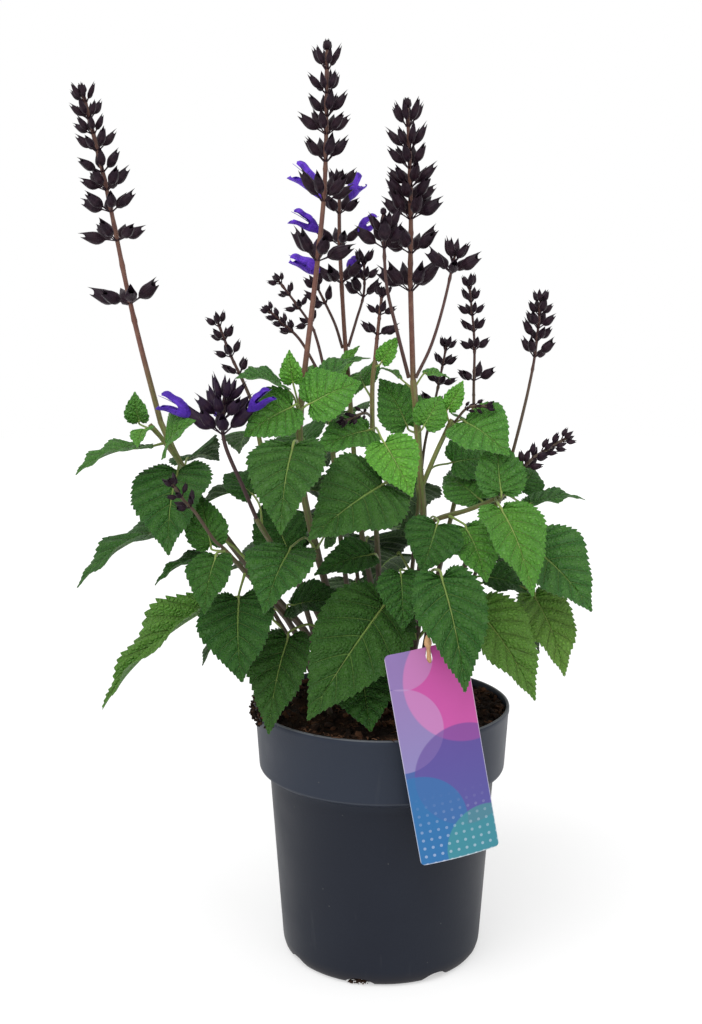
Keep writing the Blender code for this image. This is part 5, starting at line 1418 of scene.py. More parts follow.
def fine_corolla(name, calyx, length, settings, materials):
    """A violet two-lipped flower: a swelling tube, a hooded upper lip and a broad lower lip."""
    bm, layers = start_mesh()
    shape = corolla_shape(name, calyx, length)

    def place(column, row):
        turn = 2 * math.pi * column / COROLLA_AROUND
        if row <= TUBE_ROWS:
            return tube_point(shape, turn, row / TUBE_ROWS)
        lip = upper_lip if math.sin(turn) >= -1e-6 else lower_lip
        return lip(shape, turn, (row - TUBE_ROWS) / LIP_ROWS)

    def tone(column, row):
        return (row / (TUBE_ROWS + LIP_ROWS), shape["deep"], 0.0, 1.0)

    _, faces = patch(bm, COROLLA_AROUND, TUBE_ROWS + LIP_ROWS, place, layers, tone)
    bmesh.ops.delete(bm, geom=corolla_slit(faces, layers), context="FACES")
    weld(bm, bm.verts[:])
    bmesh.ops.solidify(bm, geom=bm.faces[:], thickness=settings.petal_thickness)
    for face in bm.faces:
        face.smooth = True
    style = spline([corolla_axis(shape, share, lift)
                    for share, lift in ((0.1, 0.05), (0.5, 0.07), (0.8, 0.06), (1.06, 0.03))], 5)
    stem_tube(bm, layers, style, lambda share: (0.30 - 0.12 * share) * MM,
              lambda share: (1.0, 0.5, 0.35, 1.0), sides=6, squareness=0.0)
    finish_piece(bm, name + "_petals", materials, [name])


def corolla_material(settings):
    """The velvety violet of a corolla, deeper in its tube, with painted shade in its folds."""
    material, tree, shader = new_material("petal_violet")
    share, deep, pale = tone_parts(tree)
    around, _ = uv_parts(tree)
    place = place_of(tree)
    vein = noise_on(tree, place, 500.0, 3.0)
    folds = step_between(tree, noise_on(tree, place, 210.0, 2.0), 0.48, 0.62)
    line = step_between(tree, calc(tree, "PINGPONG", times(tree, around, 18.0), 0.5), 0.14, 0.0)
    base = settings.violet
    for factor, colour in (
            (step_between(tree, share, 0.05, 0.55, 0.85, 0.0), settings.deep_violet),
            (times(tree, line, 0.35), settings.deep_violet),
            (step_between(tree, vein, 0.45, 0.8, 0.0, 0.5), (0.17, 0.06, 0.70)),
            # Painted shade in the folds.
            (times(tree, folds, 0.75), settings.deep_violet),
            (deep, settings.deep_violet),
            (pale, settings.pale_violet)):
        base = blend(tree, factor, base, colour)
    feed_all(tree, shader, {
        "Base Color": base, "Roughness": 0.55, "Specular IOR Level": 0.2, "Sheen Weight": 0.12,
        "Sheen Roughness": 0.4, "Sheen Tint": (0.6, 0.5, 1.0), "Subsurface Weight": 0.15,
        "Subsurface Radius": (0.5, 0.3, 1.0), "Subsurface Scale": 0.001})
    relief = calc(tree, "ADD", times(tree, folds, -2.5), vein)
    bump(tree, shader, calc(tree, "ADD", relief, line), 0.5, 0.0003)
    return material


# Pot: how its wall widens above the foot, and how its collar narrows downwards
FOOT_FLARE = 7.2 * MM
FOOT_HEIGHT = 10 * MM
FLOOR_THICKNESS = 2 * MM
COLLAR_TAPER = 2.9 * MM
RIM_ROUNDING = 2.0 * MM
POT_AROUND = 160
DRAIN_TURN = 9
DRAIN_SIZE = (11 * MM, 20 * MM, 14 * MM)


def inner_ledge(settings):
    """The heights between which the pot's inside widens from the body to the collar."""
    collar = settings.height - settings.collar_depth
    return collar - 2.5 * MM, collar + 1 * MM


def pot_outline(settings):
    """The pot's section from the middle of its base, out, up to the rim and down its inside."""
    rim = settings.rim_radius
    top = settings.height
    shoulder = settings.shoulder_radius
    foot = settings.base_radius
    wall = settings.wall
    collar = top - settings.collar_depth
    low, high = inner_ledge(settings)
    neck = low - 2 * MM
    narrow = rim - COLLAR_TAPER
    outside = [(0, 0.0), (foot - 3 * MM, 0.0), (foot, 0.1 * MM), (foot + 2.4 * MM, 0.5 * MM),
               (foot + 4.4 * MM, 1.6 * MM), (foot + 5.9 * MM, 3.6 * MM),
               (foot + 6.8 * MM, 6.6 * MM), (foot + FOOT_FLARE, FOOT_HEIGHT),
               (shoulder, neck), (shoulder + 0.4 * MM, neck + 0.7 * MM),
               (shoulder + 1.4 * MM, neck + 1.3 * MM), (shoulder + 3 * MM, neck + 2 * MM),
               (narrow - 1.5 * MM, collar - 0.9 * MM), (narrow - 0.5 * MM, collar - 0.2 * MM),
               (narrow - 0.1 * MM, collar + 0.6 * MM), (narrow + 0.1 * MM, collar + 2 * MM),
               (rim - 0.5 * MM, top - 4.0 * MM), (rim - 0.05 * MM, top - 3.4 * MM),
               (rim, top - 1.2 * MM), (rim - 0.25 * MM, top - 0.4 * MM), (rim - 0.8 * MM, top)]
    inside = [(rim - 1.6 * MM, top), (rim - RIM_ROUNDING, top - 0.5 * MM),
              (narrow - wall, high), (shoulder - wall, low),
              (foot + FOOT_FLARE - wall, FOOT_HEIGHT), (foot, FLOOR_THICKNESS),
              (0, FLOOR_THICKNESS)]
    return outside + inside


def inside_radius(settings, height):
    """The pot's inner radius at a height."""
    wall = settings.wall
    low, high = inner_ledge(settings)
    inside = [(settings.rim_radius - RIM_ROUNDING, settings.height),
              (settings.rim_radius - COLLAR_TAPER - wall, high),
              (settings.shoulder_radius - wall, low),
              (settings.base_radius + FOOT_FLARE - wall, FOOT_HEIGHT),
              (settings.base_radius, FLOOR_THICKNESS)]
    for upper, lower in zip(inside, inside[1:]):
        if lower[1] <= height <= upper[1]:
            share = (height - lower[1]) / max(upper[1] - lower[1], 1e-9)
            return lower[0] + share * (upper[0] - lower[0])
    return inside[-1][0]


def drain_cutters(settings):
    """The bodies that cut the arched drain openings where the wall meets the base."""
    cutters = bmesh.new()
    for index in range(settings.drain_openings):
        turn = 2 * math.pi * (index + 0.5) / settings.drain_openings + math.radians(DRAIN_TURN)
        arch = bmesh.ops.create_cone(cutters, cap_ends=True, segments=28, radius1=0.5,
                                     radius2=0.5, depth=1)
        shape = (Matrix.Rotation(turn, 4, "Z")
                 @ Matrix.Translation((settings.base_radius + 4 * MM, 0, 0))
                 @ Matrix.Rotation(math.pi / 2, 4, "Y") @ Matrix.Diagonal((*DRAIN_SIZE, 1)))
        bmesh.ops.transform(cutters, matrix=shape, verts=arch["verts"])
    return cutters


def pot_piece(settings):
    """The moulded pot with its drain openings."""
    bm, _ = start_mesh()
    points = [bm.verts.new((radius, 0, height)) for radius, height in pot_outline(settings)]
    rail = [bm.edges.new(pair) for pair in zip(points, points[1:])]
    bmesh.ops.spin(bm, geom=points + rail, cent=(0, 0, 0), axis=(0, 0, 1), angle=2 * math.pi,
                   steps=POT_AROUND, use_merge=True)
    bmesh.ops.remove_doubles(bm, verts=bm.verts[:], dist=1e-5)
    bmesh.ops.recalc_face_normals(bm, faces=bm.faces[:])
    for face in bm.faces:
        face.smooth = True
    piece = finish_piece(bm, "pot_moulded", [pot_material(settings)], ["pot"],
                         sharp=55)
    cut(piece, drain_cutters(settings))


def cut(piece, cutters):
    """Cut openings in a piece, and remove what cut them."""
    mesh = bpy.data.meshes.new("openings")
    cutters.to_mesh(mesh)
    cutters.free()
    tool = bpy.data.objects.new("openings", mesh)
    bpy.context.scene.collection.objects.link(tool)
    taking = piece.modifiers.new("cut", "BOOLEAN")
    taking.operation = "DIFFERENCE"
    taking.object = tool
    taking.solver = "EXACT"
    bpy.context.view_layer.update()
    graph = bpy.context.evaluated_depsgraph_get()
    cut_mesh = bpy.data.meshes.new_from_object(piece.evaluated_get(graph))
    piece.modifiers.clear()
    old = piece.data
    piece.data = cut_mesh
    bpy.data.meshes.remove(old)
    bpy.data.objects.remove(tool)
    bpy.data.meshes.remove(mesh)


def pot_material(settings):
    """Matt anthracite plastic: fine grain, faint scuffs, dust near the base, painted highlights on
    the collar and its edges.
    """
    material, tree, shader = new_material("pot_plastic")
    place = place_of(tree)
    height = put(tree, "SeparateXYZ", {"Vector": place}).outputs[2]
    grain = noise_on(tree, place, 900.0, 2.0)
    cloud = noise_on(tree, place, 22.0, 4.0)
    flat = put(tree, "Mapping", {"Vector": place, "Scale": (1.0, 1.0, 0.12)}).outputs[0]
    scuff = noise_on(tree, flat, 160.0, 5.0)
    dust = put(tree, "TexVoronoi", {"Vector": place, "Scale": 95.0}).outputs["Distance"]
    marks = [(step_between(tree, cloud, 0.3, 0.75, 0.0, 0.35), (0.0165, 0.0205, 0.031)),
             # Painted highlight: the collar is made paler, as if lit from above.
             (step_between(tree, height, 0.118, 0.131, 0.0, 0.8), (0.026, 0.033, 0.050)),
             (step_between(tree, scuff, 0.62, 0.80, 0.0, 0.10), (0.08, 0.085, 0.09)),
             (times(tree, step_between(tree, dust, 0.055, 0.02), 0.35), (0.14, 0.14, 0.13))]
    # Painted highlight lines along the rim's edge and the collar's lower edge.
    for level, reach, strength in ((0.1698, 0.0007, 0.55), (0.1285, 0.0007, 0.12)):
        line = calc(tree, "ABSOLUTE", calc(tree, "SUBTRACT", height, level))
        marks.append((step_between(tree, line, reach, 0.3 * reach, 0.0, strength),
                      (0.16, 0.17, 0.18)))
    marks.append((step_between(tree, height, 0.012, 0.0, 0.0, 0.4), (0.035, 0.027, 0.022)))
    base = settings.colour
    for factor, colour in marks:
        base = blend(tree, factor, base, colour)
    feed_all(tree, shader, {"Base Color": base, "Specular IOR Level": 0.14,
                            "Roughness": step_between(tree, cloud, 0.3, 0.7, 0.40, 0.50)})
    bump(tree, shader, calc(tree, "ADD", grain, times(tree, cloud, 2.0)), 0.16, 0.0004)
    return material


# Peat


def peat_height(settings, x, y, radius):
    """The rough top of the peat at a place."""
    share = math.hypot(x, y) / radius
    spot = Vector((x, y, 0))
    lumps = 3.8 * noise.noise(spot * 45) + 3.2 * noise.noise(spot * 110 + Vector((3, 1, 7)))
    crumbs = 2.6 * noise.noise(spot * 260 + Vector((9, 4, 2)))
    fade = 0.45 + 0.55 * min(1.0, (1 - share) * 6)
    return settings.top + settings.mound * (1 - share * share) + (lumps + crumbs) * fade * MM


PEAT_GAP = 0.25 * MM
PEAT_AROUND = 150
PEAT_TOP_ROWS = 46
PEAT_SEED = 7
LEFT_RIM = 192
FRONT_DRAIN = 255
RIM_CRUMBS = 330
DRAIN_CRUMBS = 130


def peat_rim(pot, settings):
    """The radius at which the top of the peat meets the wall."""
    return inside_radius(pot, settings.top) - PEAT_GAP


def on_peat(settings, rim, radius, turn, lift):
    """A point at a height over the rough top of the peat."""
    point = around_axis(radius, turn)
    point.z = peat_height(settings, point.x, point.y, rim) + lift
    return point


def peat_piece(pot, settings, materials):
    """The peat that fills the pot, rough on top."""
    bm, layers = start_mesh()
    heights = [FLOOR_THICKNESS + PEAT_GAP, FOOT_HEIGHT, 60 * MM, *inner_ledge(pot),
               settings.top - 6 * MM]
    rim = peat_rim(pot, settings)
    rings = [(0.0, heights[0])] + [(inside_radius(pot, h) - PEAT_GAP, h) for h in heights]

    def place(column, row):
        turn = 2 * math.pi * column / PEAT_AROUND
        if row < len(rings):
            radius, height = rings[row]
            return around_axis(radius, turn, height)
        radius = rim * (1 - (row - len(rings)) / (PEAT_TOP_ROWS - 1))
        x, y = radius * math.cos(turn), radius * math.sin(turn)
        return Vector((x, y, peat_height(settings, x, y, rim)))

    vertices, _ = patch(bm, PEAT_AROUND, len(rings) - 1 + PEAT_TOP_ROWS, place, layers,
                        lambda column, row: (0.15, 0.0, 0.0, 1.0))
    weld(bm, vertices)
    finish_piece(bm, "soil_peat", materials, ["soil"], sharp=70)


def crumbs_piece(pot, settings, draw, materials):
    """Loose crumbs on the peat, more of them near the wall, and spilled ones."""
    bm, layers = start_mesh()
    rim = peat_rim(pot, settings)
    for number in range(settings.crumbs):
        share = math.sqrt(draw.uniform(0, 1))
        if number % 3 == 0:
            share = 0.86 + 0.14 * share
        turn = draw.uniform(0, 2 * math.pi)
        size = (0.7 + 3.3 * draw.random() ** 2.0) * MM
        centre = on_peat(settings, rim, min(share * rim, rim - size), turn, 0.35 * size)
        crumb(bm, layers, draw, centre, size)
    for centre, size in spilled_crumbs(draw, pot):
        crumb(bm, layers, draw, centre, size)
    finish_piece(bm, "soil_crumbs", materials, [], sharp=30)


def spilled_crumbs(draw, pot):
    """Crumbs that lie on the rim at the left and in the front drain opening."""
    found = []
    for _ in range(RIM_CRUMBS):
        turn = math.radians(draw.gauss(LEFT_RIM, 10))
        over = draw.uniform(-2.8, 7.0)
        size = (0.5 + 1.7 * draw.random() ** 2) * MM
        lift = draw.uniform(-7.0, 1.5) if over < 0 else -1.5 + 11.0 * draw.random() ** 1.3
        found.append((around_axis(pot.rim_radius - over * MM, turn, pot.height + lift * MM), size))
    for _ in range(DRAIN_CRUMBS):
        turn = math.radians(draw.gauss(FRONT_DRAIN, 3.4))
        radius = pot.base_radius + draw.uniform(-2.0, 5.5) * MM
        size = (0.5 + 1.5 * draw.random() ** 2) * MM
        found.append((around_axis(radius, turn, size + draw.uniform(0.1, 5.0) * MM), size))
    return found


def fibres_piece(pot, settings, draw, materials):
    """Loose fibres and bark on the peat; every sixth lies on the rim."""
    bm, layers = start_mesh()
    rim = peat_rim(pot, settings)
    for number in range(settings.fibres):
        on_rim = number % 6 == 0
        share = math.sqrt(draw.uniform(0, 1))
        turn = draw.uniform(0, 2 * math.pi)
        reach = (3 + 8 * draw.random() ** 2) * MM
        radius = share * (rim - 0.6 * reach)
        if on_rim:
            turn = math.radians(draw.choice((LEFT_RIM, FRONT_DRAIN)) + draw.gauss(0, 14))
            radius = pot.rim_radius - draw.uniform(0.0, 4.0) * MM
            reach *= 0.6
        centre = on_peat(settings, rim, radius, turn, draw.uniform(0.6, 2.6) * MM)
        if on_rim:
            centre.z = pot.height + draw.uniform(0.3, 1.6) * MM
        fibre(bm, layers, draw, centre, reach)
    finish_piece(bm, "soil_fibres", materials, [], sharp=40)


def crumb(bm, layers, draw, centre, size):
    """One crumb: a small ball pulled out of shape."""
    made = bmesh.ops.create_icosphere(bm, subdivisions=1, radius=size)["verts"]
    stretch = Vector((draw.uniform(0.7, 1.5), draw.uniform(0.6, 1.1), draw.uniform(0.4, 0.8)))
    spin = Quaternion(Vector((draw.gauss(0, 1), draw.gauss(0, 1), draw.gauss(0, 1))),
                      draw.uniform(0, 3))
    shade = draw.random() ** 1.6
    for vertex in made:
        point = Vector(a * b for a, b in zip(vertex.co, stretch)) * draw.uniform(0.7, 1.15)
        vertex.co = centre + spin @ point
        vertex[layers["tone"]] = (shade, 0.0, 0.0, 1.0)


def fibre(bm, layers, draw, centre, reach):
    """One bent fibre or splinter of bark."""
    turn = draw.uniform(0, 2 * math.pi)
    away = Vector((math.cos(turn), math.sin(turn), draw.uniform(-0.15, 0.35))).normalized()
    side = Vector((-away.y, away.x, 0))
    bend = draw.uniform(-0.3, 0.3) * reach
    points = [centre - 0.5 * reach * away, centre + bend * side + 0.3 * MM * UP,
              centre + 0.3 * reach * away - 0.4 * bend * side, centre + 0.5 * reach * away]
    wide = draw.uniform(0.12, 0.45) * MM
    pale = draw.random() ** 1.8
    stem_tube(bm, layers, spline(points, 3), lambda share: wide * (1 - 0.6 * share),
              lambda share: (0.6, pale, 0.0, 1.0), sides=5, squareness=0.0)


def peat_material(settings):
    """Damp peat: near black, with brown crumbs and straw."""
    material, tree, shader = new_material("peat_crumbs")
    brown, straw, _ = tone_parts(tree)
    place = place_of(tree)
    rough = noise_on(tree, place, 330.0, 6.0, 0.7)
    patchy = noise_on(tree, place, 95.0, 3.0)
    base = blend(tree, brown, settings.dark, settings.brown)
    base = blend(tree, straw, base, settings.straw)
    base = blend(tree, step_between(tree, rough, 0.50, 0.74, 0.0, 0.55), base, settings.brown)
    base = blend(tree, step_between(tree, patchy, 0.40, 0.58, 0.0, 0.85), base, settings.dark)
    feed_all(tree, shader, {"Base Color": base, "Roughness": 0.92, "Specular IOR Level": 0.12})
    bump(tree, shader, rough, 1.0, 0.0012)
    return material


# Label and stake


def label_frame():
    """The card's own axes: across, down its length and out of its face."""
    turn = Matrix.Rotation(math.radians(LABEL_TURN), 3, "Z")
    out = turn @ Vector((0, -1, 0))
    down = Vector((0, 0, -1))
    down.rotate(Quaternion(out, math.radians(LABEL_TILT)))
    across = down.cross(out)
    return across, down, out


CARD_RATIO = 0.376
CARD_COLUMNS = 26
CARD_ROWS = 50
CORNER_ROWS = 5
HOLE_ON_STAKE = 0.90


def card_rows(length, corner):
    """How far down the card its rows lie: closer together at its rounded corners."""
    quarter = [math.pi / 2 * i / CORNER_ROWS for i in range(CORNER_ROWS + 1)]
    rows = [corner * (1 - math.cos(turn)) for turn in quarter]
    rows += [corner + (length - 2 * corner) * i / CARD_ROWS for i in range(1, CARD_ROWS + 1)]
    return rows + [length - corner * (1 - math.sin(turn)) for turn in quarter[1:]]


def label_piece(settings):
    """A slightly bowed card with rounded corners and a hole for its stake."""
    bm, layers = start_mesh()
    across, down, out = label_frame()
    half = settings.width / 2
    corner = settings.corner
    falls = card_rows(settings.length, corner)

    def place(column, row):
        fall = falls[row]
        into = max(corner - min(fall, settings.length - fall), 0.0)
        reach = half - corner + math.sqrt(max(corner * corner - into * into, 0.0))
        v = 2 * column / CARD_COLUMNS - 1
        bow = settings.bow * (fall / settings.length) ** 2
        curl = settings.curl * v * v
        return LABEL_TOP + fall * down + v * reach * across + (bow - curl) * out

    vertices, faces = patch(bm, CARD_COLUMNS, len(falls) - 1, place, layers,
                            lambda column, row: (0.0, 0.0, 0.0, 1.0))
    for face in faces:
        for loop in face.loops:
            offset = loop.vert.co - LABEL_TOP
            loop[layers["uv"]].uv = (offset.dot(across) / settings.width + 0.5,
                                     offset.dot(down) / settings.length)
        face.normal_update()
    if faces[0].normal.dot(out) < 0:
        bmesh.ops.reverse_faces(bm, faces=faces)
    bmesh.ops.translate(bm, verts=vertices, vec=out * settings.thickness / 2)
    bmesh.ops.solidify(bm, geom=faces, thickness=settings.thickness)
    piece = finish_piece(bm, "label_card", [label_material(settings)], ["label"],
                         sharp=30)
    hole = bmesh.new()
    drill = bmesh.ops.create_cone(hole, cap_ends=True, segments=32,
                                  radius1=settings.hole_radius, radius2=settings.hole_radius,
                                  depth=20 * MM)
    direction = (STAKE_TIP - STAKE_FOOT).normalized()
    centre = STAKE_FOOT.lerp(STAKE_TIP, HOLE_ON_STAKE)
    aim = Matrix.Translation(centre) @ direction.to_track_quat("Z", "Y").to_matrix().to_4x4()
    bmesh.ops.transform(hole, matrix=aim, verts=drill["verts"])
    cut(piece, hole)


def label_material(settings):
    """A satin card with soft round shapes in violet, rose, lilac and blue."""
    material, tree, shader = new_material("label_print")
    u, v = uv_parts(tree)
    flat = put(tree, "CombineXYZ", {"X": times(tree, u, CARD_RATIO), "Y": v}).outputs[0]
    base = blend(tree, step_between(tree, v, 0.05, 0.95), settings.violet, settings.blue)
    shapes = ((0.02, 0.18, 0.30, settings.rose, 0.85), (0.36, 0.36, 0.20, settings.lilac, 0.45),
              (0.10, 0.62, 0.24, settings.violet, 0.70), (0.34, 0.80, 0.22, settings.blue, 0.75),
              (0.05, 0.98, 0.20, (0.05, 0.26, 0.22), 0.60),
              (0.30, 0.04, 0.14, settings.lilac, 0.4))
    for x, y, radius, colour, strength in shapes:
        apart = put(tree, "VectorMath", {0: flat, 1: (x, y, 0.0)}, operation="DISTANCE")
        inside = step_between(tree, apart.outputs["Value"], radius, radius * 0.97, 0.0, strength)
        base = blend(tree, inside, base, colour)
    dots = put(tree, "TexVoronoi", {"Vector": flat, "Scale": 26.0, "Randomness": 0.0})
    dot = step_between(tree, dots.outputs["Distance"], 0.20, 0.16, 0.0, 0.30)
    base = blend(tree, times(tree, dot, step_between(tree, v, 0.66, 0.98)), base,
                 (0.72, 0.74, 0.86))
    aside = calc(tree, "ABSOLUTE", calc(tree, "SUBTRACT", u, 0.5))
    edge = calc(tree, "MAXIMUM", step_between(tree, aside, 0.488, 0.5),
                step_between(tree, v, 0.993, 1.0))
    base = blend(tree, times(tree, edge, 0.5), base, (0.8, 0.78, 0.82))
    feed_all(tree, shader, {"Base Color": base, "Roughness": 0.38, "Specular IOR Level": 0.25})
    bump(tree, shader, noise_on(tree, place_of(tree), 600.0, 2.0), 0.08, 0.0002)
    return material


# The stake from foot to point: share of its run, share of its radius
STAKE_PROFILE = ((0.0, 0.55), (0.02, 1.0), (0.5, 1.0), (0.82, 1.0), (0.86, 0.88), (0.88, 0.76),
                 (0.91, 0.76), (0.922, 1.15), (0.936, 1.50), (0.952, 1.45), (0.970, 1.15),
                 (0.986, 0.70), (0.997, 0.30))


def stake_piece(settings):
    """The pale stake, swollen and pointed above the card."""
    bm, layers = start_mesh()
    curve = [STAKE_FOOT.lerp(STAKE_TIP, share) for share, _ in STAKE_PROFILE]
    sizes = [swell * settings.radius for _, swell in STAKE_PROFILE]

    def radius(share):
        return sizes[round(share * (len(sizes) - 1))]

    stem_tube(bm, layers, curve, radius, lambda share: (share, 0.0, 0.0, 1.0), sides=20,
              squareness=0.05)
    finish_piece(bm, "stake_peg", [wood_material(settings)], ["label_stake"],
                 sharp=60)


def wood_material(settings):
    """Pale planed wood with a fine grain along the stake."""
    material, tree, shader = new_material("stake_wood")
    place = put(tree, "Mapping", {"Vector": place_of(tree), "Rotation": (0.42, 0.10, 0.0),
                                  "Scale": (1.0, 1.0, 0.06)}).outputs[0]
    grain = noise_on(tree, place, 1500.0, 3.0)
    base = blend(tree, step_between(tree, grain, 0.35, 0.7, 0.0, 0.7), settings.colour,
                 (0.42, 0.22, 0.085))
    feed_all(tree, shader, {"Base Color": base, "Roughness": 0.6})
    bump(tree, shader, grain, 0.3, 0.0002)
    return material


# Stage


FLOOR_SIDES = 96
SENSOR_WIDTH = 36.0
CAMERA_PLACE = (-0.0206, -0.820, 0.420)
CAMERA_DROP = 8.5
LAMP_SPREADS = {"key_lamp": 50, "fill_lamp": 60}
LAMP_PLACES = {"key_lamp": (-0.45, -0.80, 1.05), "fill_lamp": (0.95, -0.55, 0.75)}


def add_object(name, data):
    """A new object in the scene."""
    made = bpy.data.objects.new(name, data)
    bpy.context.scene.collection.objects.link(made)
    return made


def floor_piece(settings):
    """The pale floor, which gives a little light of its own."""
    bm = bmesh.new()
    bmesh.ops.create_circle(bm, cap_ends=True, segments=FLOOR_SIDES,
                            radius=settings.floor_radius)
    mesh = bpy.data.meshes.new("floor")
    bm.to_mesh(mesh)
    bm.free()
    material, tree, shader = new_material("floor_paint")
    feed_all(tree, shader, {"Base Color": tuple(settings.floor_colour), "Roughness": 0.9,
                            "Emission Color": (1.0, 1.0, 1.0),
                            "Emission Strength": settings.floor_glow})
    mesh.materials.append(material)
    add_object("floor", mesh)


def soft_sky(settings):
    """Even light from all round, seen as plain white."""
    world = bpy.data.worlds.new("soft_sky")
    world.use_nodes = True
    tree = world.node_tree
    seen = put(tree, "LightPath").outputs["Is Camera Ray"]
    strength = step_between(tree, seen, 0.0, 1.0, settings.sky_light, 1.0)
    feed_all(tree, tree.nodes["Background"], {"Color": (1.0, 1.0, 1.0), "Strength": strength})
    bpy.context.scene.world = world


def wide_lamp(name, power):
    """A lamp that lights the plant from one side, with soft shadows."""
    light = bpy.data.lights.new(name, "SUN")
    light.energy = power
    light.angle = math.radians(LAMP_SPREADS[name])
    lamp = add_object(name, light)
    lamp.location = LAMP_PLACES[name]
    lamp.rotation_euler = (-lamp.location).to_track_quat("-Z", "Y").to_euler()


def front_camera(settings):
    """The camera at the photograph's angle."""
    view = bpy.data.cameras.new("front_view")
    view.lens = settings.lens
    view.sensor_width = SENSOR_WIDTH
    camera = add_object("front_view", view)
    camera.location = CAMERA_PLACE
    camera.rotation_euler = (math.radians(90 - CAMERA_DROP), 0, 0)
    bpy.context.scene.camera = camera
    bpy.context.scene.view_settings.view_transform = "Standard"


class SALVIA_OT_pot(bpy.types.Operator):
    """Build the pot."""

    bl_idname = "salvia.pot"
    bl_label = "Pot"
    bl_options = {"REGISTER", "UNDO"}

    def execute(self, context):
        pot_piece(context.scene.salvia.pot)
        return {"FINISHED"}


class SALVIA_OT_soil(bpy.types.Operator):
    """Build the peat with its crumbs and fibres."""

    bl_idname = "salvia.soil"
    bl_label = "Soil"
    bl_options = {"REGISTER", "UNDO"}

    def execute(self, context):
        settings = context.scene.salvia
        materials = [peat_material(settings.soil)]
        draw = random.Random(PEAT_SEED)
        peat_piece(settings.pot, settings.soil, materials)
        crumbs_piece(settings.pot, settings.soil, draw, materials)
        fibres_piece(settings.pot, settings.soil, draw, materials)
        return {"FINISHED"}


class SALVIA_OT_leafy_stems(bpy.types.Operator):
    """Build the leafy stems."""

    bl_idname = "salvia.leafy_stems"
    bl_label = "Leafy stems"
    bl_options = {"REGISTER", "UNDO"}

    def execute(self, context):
        settings = context.scene.salvia
        materials = [leaf_material("leaf_upper", settings.leaves, False),
                     leaf_material("leaf_under", settings.leaves, True),
                     stem_material(settings.stems)]
        changes = tries()
        index = 0
        for name, plan in LEAFY_STEMS.items():
            mesh = frame["nodes"][name].data
            corners = kdtree.KDTree(len(mesh.vertices))
            for vertex in mesh.vertices:
                corners.insert(vertex.co, vertex.index)
            corners.balance()
            index = leafy_stem(name, plan, index, corners, changes, settings.leaves, materials)
        return {"FINISHED"}


class SALVIA_OT_flower_spikes(bpy.types.Operator):
    """Build the flower spikes with their dark calyces."""

    bl_idname = "salvia.flower_spikes"
    bl_label = "Flower spikes"
    bl_options = {"REGISTER", "UNDO"}

    def execute(self, context):
        settings = context.scene.salvia
        materials = [stem_material(settings.stems), calyx_material(settings.flowers)]
        for name, plan in SPIKES.items():
            calyces = calyces_of(name, plan)
            bearing = [calyx_facing(calyces, whorl, compass)
                       for owner, whorl, compass, _ in COROLLAS.values() if owner == name]
            spike_piece(name, plan, settings.flowers, bearing, materials)
        return {"FINISHED"}


class SALVIA_OT_corollas(bpy.types.Operator):
    """Build the violet corollas."""

    bl_idname = "salvia.corollas"
    bl_label = "Corollas"
    bl_options = {"REGISTER", "UNDO"}

    def execute(self, context):
        settings = context.scene.salvia.flowers
        materials = [corolla_material(settings)]
        for name, (owner, whorl, compass, length) in COROLLAS.items():
            calyx = calyx_facing(calyces_of(owner, SPIKES[owner]), whorl, compass)
            fine_corolla(name, calyx, length, settings, materials)
        return {"FINISHED"}


class SALVIA_OT_label(bpy.types.Operator):
    """Build the colour label."""

    bl_idname = "salvia.label"
    bl_label = "Label"
    bl_options = {"REGISTER", "UNDO"}

    def execute(self, context):
        label_piece(context.scene.salvia.label)
        return {"FINISHED"}


class SALVIA_OT_stake(bpy.types.Operator):
    """Build the label's stake."""

    bl_idname = "salvia.stake"
    bl_label = "Stake"
    bl_options = {"REGISTER", "UNDO"}

    def execute(self, context):
        stake_piece(context.scene.salvia.stake)
        return {"FINISHED"}


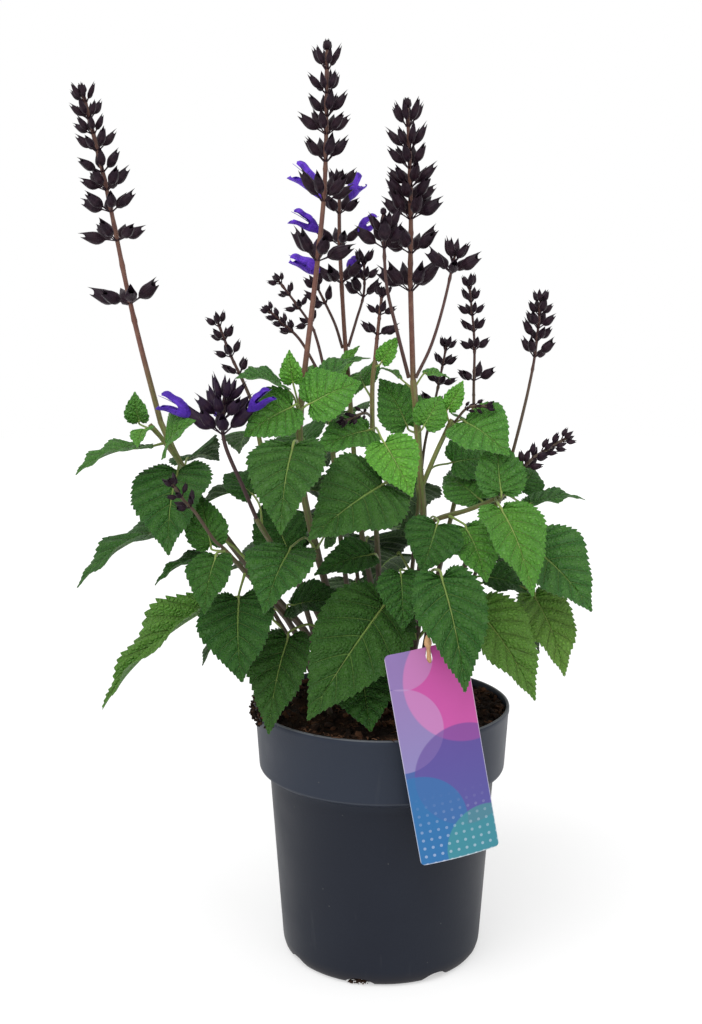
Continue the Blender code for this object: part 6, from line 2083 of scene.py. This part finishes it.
class SALVIA_OT_stage(bpy.types.Operator):
    """Build the floor, the light and the camera."""

    bl_idname = "salvia.stage"
    bl_label = "Stage"
    bl_options = {"REGISTER", "UNDO"}

    def execute(self, context):
        settings = context.scene.salvia.stage
        floor_piece(settings)
        soft_sky(settings)
        wide_lamp("key_lamp", settings.key_light)
        wide_lamp("fill_lamp", settings.fill_light)
        front_camera(settings)
        return {"FINISHED"}


OPERATORS = (SALVIA_OT_pot, SALVIA_OT_soil, SALVIA_OT_leafy_stems, SALVIA_OT_flower_spikes,
             SALVIA_OT_corollas, SALVIA_OT_label, SALVIA_OT_stake, SALVIA_OT_stage)


class SALVIA_PT_panel(bpy.types.Panel):
    """The salvia's pieces and their settings."""

    bl_idname = "SALVIA_PT_panel"
    bl_label = "Potted salvia"
    bl_space_type = "VIEW_3D"
    bl_region_type = "UI"
    bl_category = "Salvia"

    def draw(self, context):
        layout = self.layout
        for operator in OPERATORS:
            layout.operator(operator.bl_idname)
        settings = context.scene.salvia
        for group in (settings.pot, settings.soil, settings.leaves, settings.stems,
                      settings.flowers, settings.label, settings.stake, settings.stage):
            box = layout.box()
            for key in group.__annotations__:
                box.prop(group, key)


CLASSES = (SalviaPotSettings, SalviaSoilSettings, SalviaLeafSettings, SalviaStemSettings,
           SalviaFlowerSettings, SalviaLabelSettings, SalviaStakeSettings, SalviaStageSettings,
           SalviaSettings, *OPERATORS, SALVIA_PT_panel)


def register():
    for each in CLASSES:
        bpy.utils.register_class(each)
    bpy.types.Scene.salvia = PointerProperty(type=SalviaSettings)


def unregister():
    del bpy.types.Scene.salvia
    for each in reversed(CLASSES):
        bpy.utils.unregister_class(each)


def main():
    register()
    for old in list(bpy.context.scene.objects):
        if "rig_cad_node" not in old and old.type in {"MESH", "LIGHT", "CAMERA"}:
            bpy.data.objects.remove(old)
    bpy.ops.salvia.pot()
    bpy.ops.salvia.soil()
    bpy.ops.salvia.leafy_stems()
    bpy.ops.salvia.flower_spikes()
    bpy.ops.salvia.corollas()
    bpy.ops.salvia.label()
    bpy.ops.salvia.stake()
    bpy.ops.salvia.stage()


if __name__ == "__main__":
    main()
